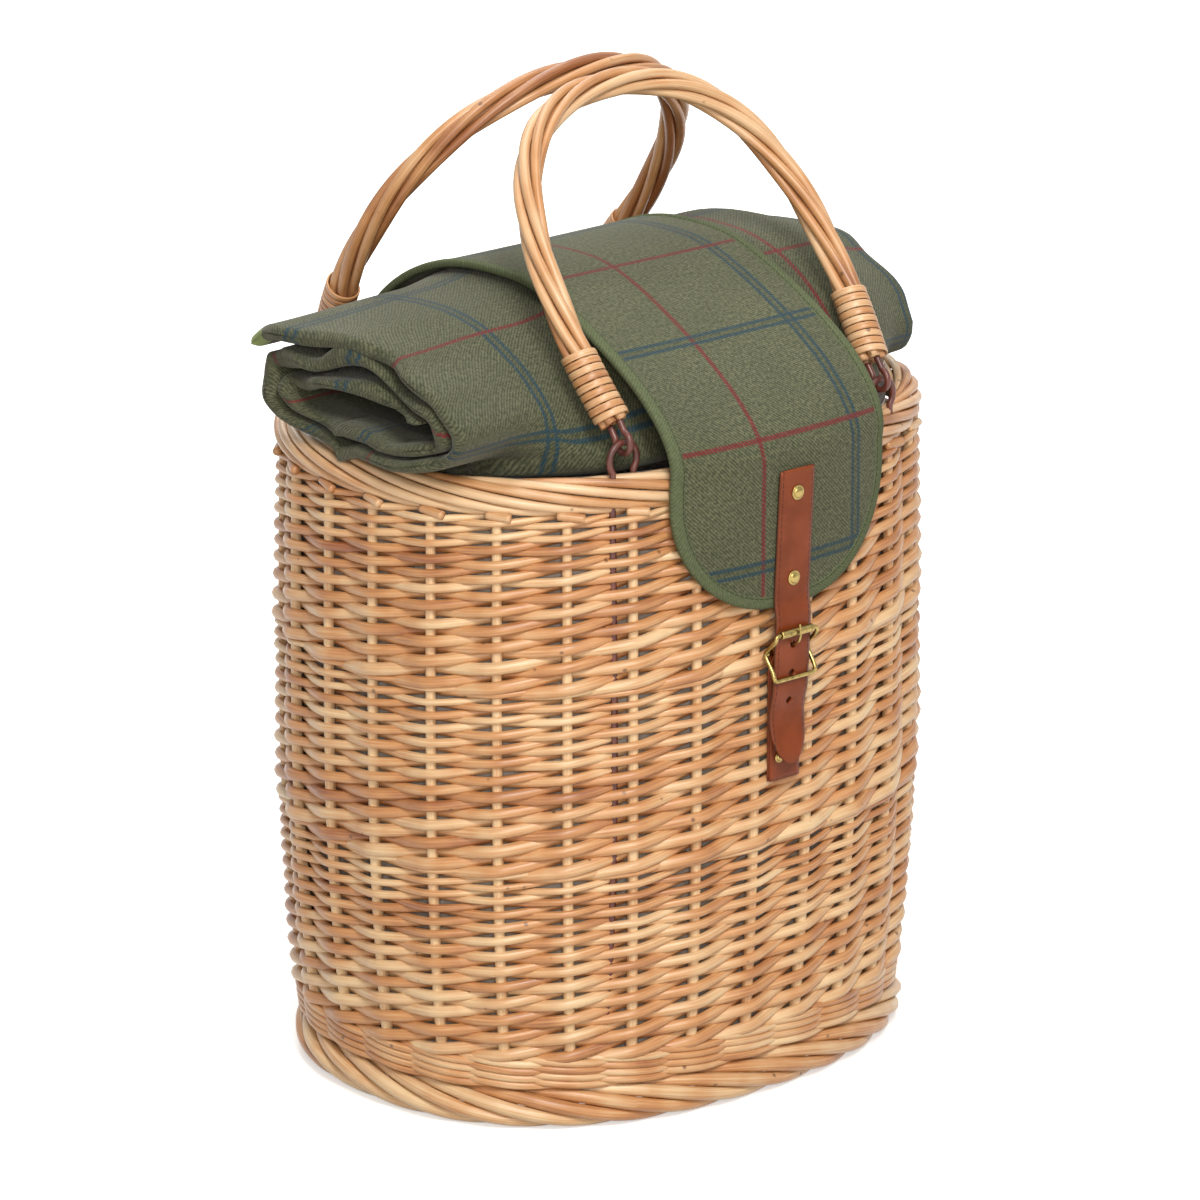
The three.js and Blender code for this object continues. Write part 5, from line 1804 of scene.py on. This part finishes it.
        def half(y: float, z: float) -> Array:
            """One cross bar with its two arms, from the left of the centre bar to the right.

            Args:
                y: Y of the cross bar.
                z: Height of the cross bar.

            Returns:
                The half's points, (count, 3).
            """
            inward = math.copysign(corner, self.bar_z - z)
            bend = np.array([
                [side - corner, y, z], [side - 0.25 * corner, y, z + 0.25 * inward], [side, y, z + inward],
            ])
            arm = bezier(np.array([
                [side, y, z + inward], [side, y, z + 2 * inward],
                [side, self.bar_y, self.bar_z - inward], [side, self.bar_y, self.bar_z],
            ]), 5)[1:]
            right = np.concatenate([[[end, y, z]], bend, arm])
            left = right[::-1] * np.array([-1, 1, 1])
            return np.concatenate([left, [[0, y, z]], right])

        low, high = half(self.lower_y, self.lower_z), half(self.roller_y, self.roller_z)
        loop = catmull(np.concatenate([low, high[::-1][1:-1]]), 6, closed=True)
        frame = tubes(loop[None], self.bar_radius, 12, np.array([0.02, 1.0, 0.05]), closed=True)
        span = np.linspace(-side, side, 12)
        bar = np.stack([span, np.full_like(span, self.bar_y), np.full_like(span, self.bar_z)], axis=1)
        bar = tubes(bar[None], self.bar_radius, 12, UP)
        ends = np.array([-1, -0.97, -0.9, -0.3, 0, 0.3, 0.9, 0.97, 1.0, 1.0, -1.0]) * end
        thick = np.array([2.3, *[2.5] * 7, 2.3, 1.7, 1.7]) * MM
        around = circle(24)
        points = np.stack(np.broadcast_arrays(
            ends[:, None],
            self.roller_y + thick[:, None] * np.cos(around),
            self.roller_z + thick[:, None] * np.sin(around),
        ), axis=-1)
        roller = sweep(points, ends[:, None], around * self.roller_radius, closed_rows=True)
        eye, thin = self.tongue_eye, self.tongue_radius
        ring = np.stack([0 * around, eye * np.cos(around), eye * np.sin(around)], axis=1)
        ring = tubes(ring[None] + [0, self.bar_y, self.bar_z], thin, 8, ASIDE, closed=True)
        # The tongue leaves its eye at 45 degrees, goes through the strap's hole and rests on the roller.
        slant = 0.7071 * eye
        rest = self.roller_y - self.roller_radius - self.play - thin
        out, up = rest - self.over_bar, self.roller_z - self.hole_z
        shank = catmull(np.array([
            [0, self.bar_y - slant, self.bar_z + slant],
            [0, self.over_bar, self.hole_z],
            [0, self.over_bar + 0.75 * out, self.hole_z + 0.35 * up],
            [0, rest, self.roller_z],
            [0, rest + 1 * MM, self.roller_z + 5 * MM],
        ]), 8)
        shank = tubes(shank[None], np.linspace(1, 0.72, len(shank)) * thin, 10, ASIDE)
        for skin in (frame, bar, roller, ring, shank):
            skin.points[..., 0] += self.aside(self.bar_z)
        dress(mesh_object("brass_frame", [frame, bar], brass), "basket", Slot.BRASS, "buckle_frame")
        dress(mesh_object("brass_roller", [roller], brass), "roller", Slot.BRASS, "buckle_roller")
        dress(mesh_object("brass_tongue", [ring, shank], brass), "tongue", Slot.BRASS, "buckle_tongue")

    def build(self, strap: Material, chape: Material, brass: Material) -> None:
        """Makes the strap, chape, rivets and buckle.

        Args:
            strap: Leather of the strap.
            chape: Leather of the chape.
            brass: Brass of the rivets and the buckle.
        """
        self.build_strap(strap)
        self.build_chape(chape)
        self.build_rivets(brass)
        self.build_buckle(brass)


# Studio


@dataclass
class Studio:
    """Pale floor, soft light and the camera of the product picture."""

    azimuth: float = 40.93
    distance: float = 4.0551
    camera_z: float = 1.5713
    aim_z: float = 0.2701
    lens: float = 214.0
    sensor: float = 36.0
    floor_half: float = 6.0
    glow_from: float = 0.35
    glow_to: float = 1.6
    glow_low: float = 0.52
    sky: float = 0.13
    lamp_aim_z: float = 0.3

    def seen(self, add: Add) -> Socket:
        """1 for the rays that show a thing to the camera, directly, mirrored or through a piece, and else 0.

        Args:
            add: Adds a node to the material or world.

        Returns:
            The share, 1 or 0.
        """
        path = add("LightPath").node.outputs
        seen = add("Math", (path["Is Camera Ray"], path["Is Glossy Ray"]), operation="MAXIMUM")
        return add("Math", (seen, path["Is Transmission Ray"]), operation="MAXIMUM")

    def build_floor(self) -> None:
        """Lays a white floor that shows the object's shadow and reads as white to the camera."""
        material = bpy.data.materials.new("white_paper_floor")
        add = start_nodes(material)
        dull = add("BsdfDiffuse", {"Color": linear("#BEBAB4")})
        away = add("VectorMath", (add("TexCoord", pick="Object"),), "Value", operation="LENGTH")
        # The glow grows with the distance from the object, whose shadow shows near it; far off all is white.
        lift = add("MapRange", (away, self.glow_from, self.glow_to, self.glow_low, 1.0))
        glow = add("Emission", {"Color": linear("#FFFFFF"), "Strength": lift})
        both = add("AddShader", (add("BsdfDiffuse", {"Color": linear("#EDEDED")}), glow))
        add("OutputMaterial", (add("MixShader", (self.seen(add), dull, both)),))
        mesh = bpy.data.meshes.new("floor")
        size = self.floor_half
        corners = [(-size, -size, 0), (size, -size, 0), (size, size, 0), (-size, size, 0)]
        mesh.from_pydata(corners, [], [(0, 1, 2, 3)])
        mesh.materials.append(material)
        floor = bpy.data.objects.new("floor", mesh)
        bpy.context.scene.collection.objects.link(floor)

    def build_light(self) -> None:
        """Lights the object with soft lamps and a pale sky that the camera sees as white."""
        world = bpy.data.worlds.new("studio")
        bpy.context.scene.world = world
        add = start_nodes(world)
        sky = add("Background", {"Color": linear("#FFF4EA"), "Strength": self.sky})
        white = add("Background", {"Color": linear("#FFFFFF"), "Strength": 1.0})
        add("OutputWorld", (add("MixShader", (self.seen(add), sky, white)),))
        # Name, place, diameter, watts and tint. The fill is near the camera, to reach between the rods.
        lamps = (
            ("key", (-1.45, -2.65, 3.2), 1.4, 128.0, "#FFFBF5"),
            ("fill", (-2.2, -2.7, 1.5), 1.0, 44.0, "#FFF7EC"),
            ("top", (0.3, 0.5, 3.0), 2.0, 46.0, "#FFFFFF"),
            ("back", (1.4, 2.8, 2.4), 1.8, 26.0, "#FFF8EE"),
        )
        for name, place, size, power, tint in lamps:
            lamp = bpy.data.lights.new(name, "AREA")
            lamp.shape = "DISK"
            lamp.size = size
            lamp.energy = power
            lamp.color = linear(tint)[:3]
            holder = bpy.data.objects.new(name, lamp)
            holder.location = place
            aim = Vector((0, 0, self.lamp_aim_z)) - Vector(place)
            holder.rotation_euler = aim.to_track_quat("-Z", "Y").to_euler()
            bpy.context.scene.collection.objects.link(holder)

    def build_camera(self) -> None:
        """Sets the camera where the picture was taken from, with its long lens."""
        data = bpy.data.cameras.new("camera")
        data.lens = self.lens
        data.sensor_width = self.sensor
        data.clip_end = 100
        camera = bpy.data.objects.new("camera", data)
        angle = math.radians(self.azimuth)
        away = -math.cos(angle) * self.distance + OVAL_Y
        camera.location = (-math.sin(angle) * self.distance, away, self.camera_z)
        aim = Vector((0, OVAL_Y, self.aim_z)) - camera.location
        camera.rotation_euler = aim.to_track_quat("-Z", "Y").to_euler()
        bpy.context.scene.collection.objects.link(camera)
        bpy.context.scene.camera = camera

    def build(self) -> None:
        """Makes the floor, the light and the camera."""
        bpy.context.scene.view_settings.view_transform = "Standard"
        self.build_floor()
        self.build_light()
        self.build_camera()


def main() -> None:
    """Builds the studio, then each part of the basket."""
    logging.basicConfig(level=logging.INFO, format="%(name)s %(message)s")
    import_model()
    Studio().build()
    willow = WillowFinish("buff_willow", "#8E522C", "#C68F5C", "#E3C69C").material()
    pale = WillowFinish("pale_buff_willow", "#8E5730", "#C08C5B", "#DAB890").material()
    wire = WireFinish().material()
    tape = TapeFinish("olive_twill_tape").material()
    brass = BrassFinish().material()
    plan = OvalPlan()
    woven = WovenBody(plan)
    woven.build(willow, pale)
    # The last colour is the stitches, with painted shade in their groove.
    grey_tape = TapeFinish("grey_twill_tape", "#5F5B59", "#77726F", "#4A4745").material()
    Liner(plan, woven).build(LinerFinish().material(), grey_tape)
    for handle in (
        Handle(
            End.FRONT, lean=36.5, rise=212 * MM, bow=17 * MM, bow_height=125 * MM, crown_reach=94 * MM
        ),
        Handle(
            # The rear handle's shade is painted shade: it lies in the shadow of the roll.
            End.REAR, lean=35, rise=213 * MM, bow=40 * MM, bow_height=138 * MM, crown_reach=84 * MM, shade=0.3
        ),
    ):
        handle.build(woven, pale, wire)
    blanket = Blanket(plan)
    # The roll's ground and fleck are darker than the flap's: painted shade for the roll, whose front lies in
    # shade.
    wool = TweedFinish(
        "olive_tweed_blanket", ground="#3B412F", fleck="#6A6B54",
        edge_at=194 * MM, along_shift=120 * MM, across_shift=98 * MM,
    )
    blanket.build(wool.material())
    flap_tweed = TweedFinish("olive_tweed_flap", across_shift=-20 * MM, along_shift=101.5 * MM)
    Flap(blanket, plan).build(flap_tweed.material(), tape)
    Closure().build(
        LeatherFinish("tan_strap_leather").material(),
        LeatherFinish("tan_chape_leather", half_width=12.5 * MM, stitched=False).material(),
        brass,
    )


if __name__ == "__main__":
    main()
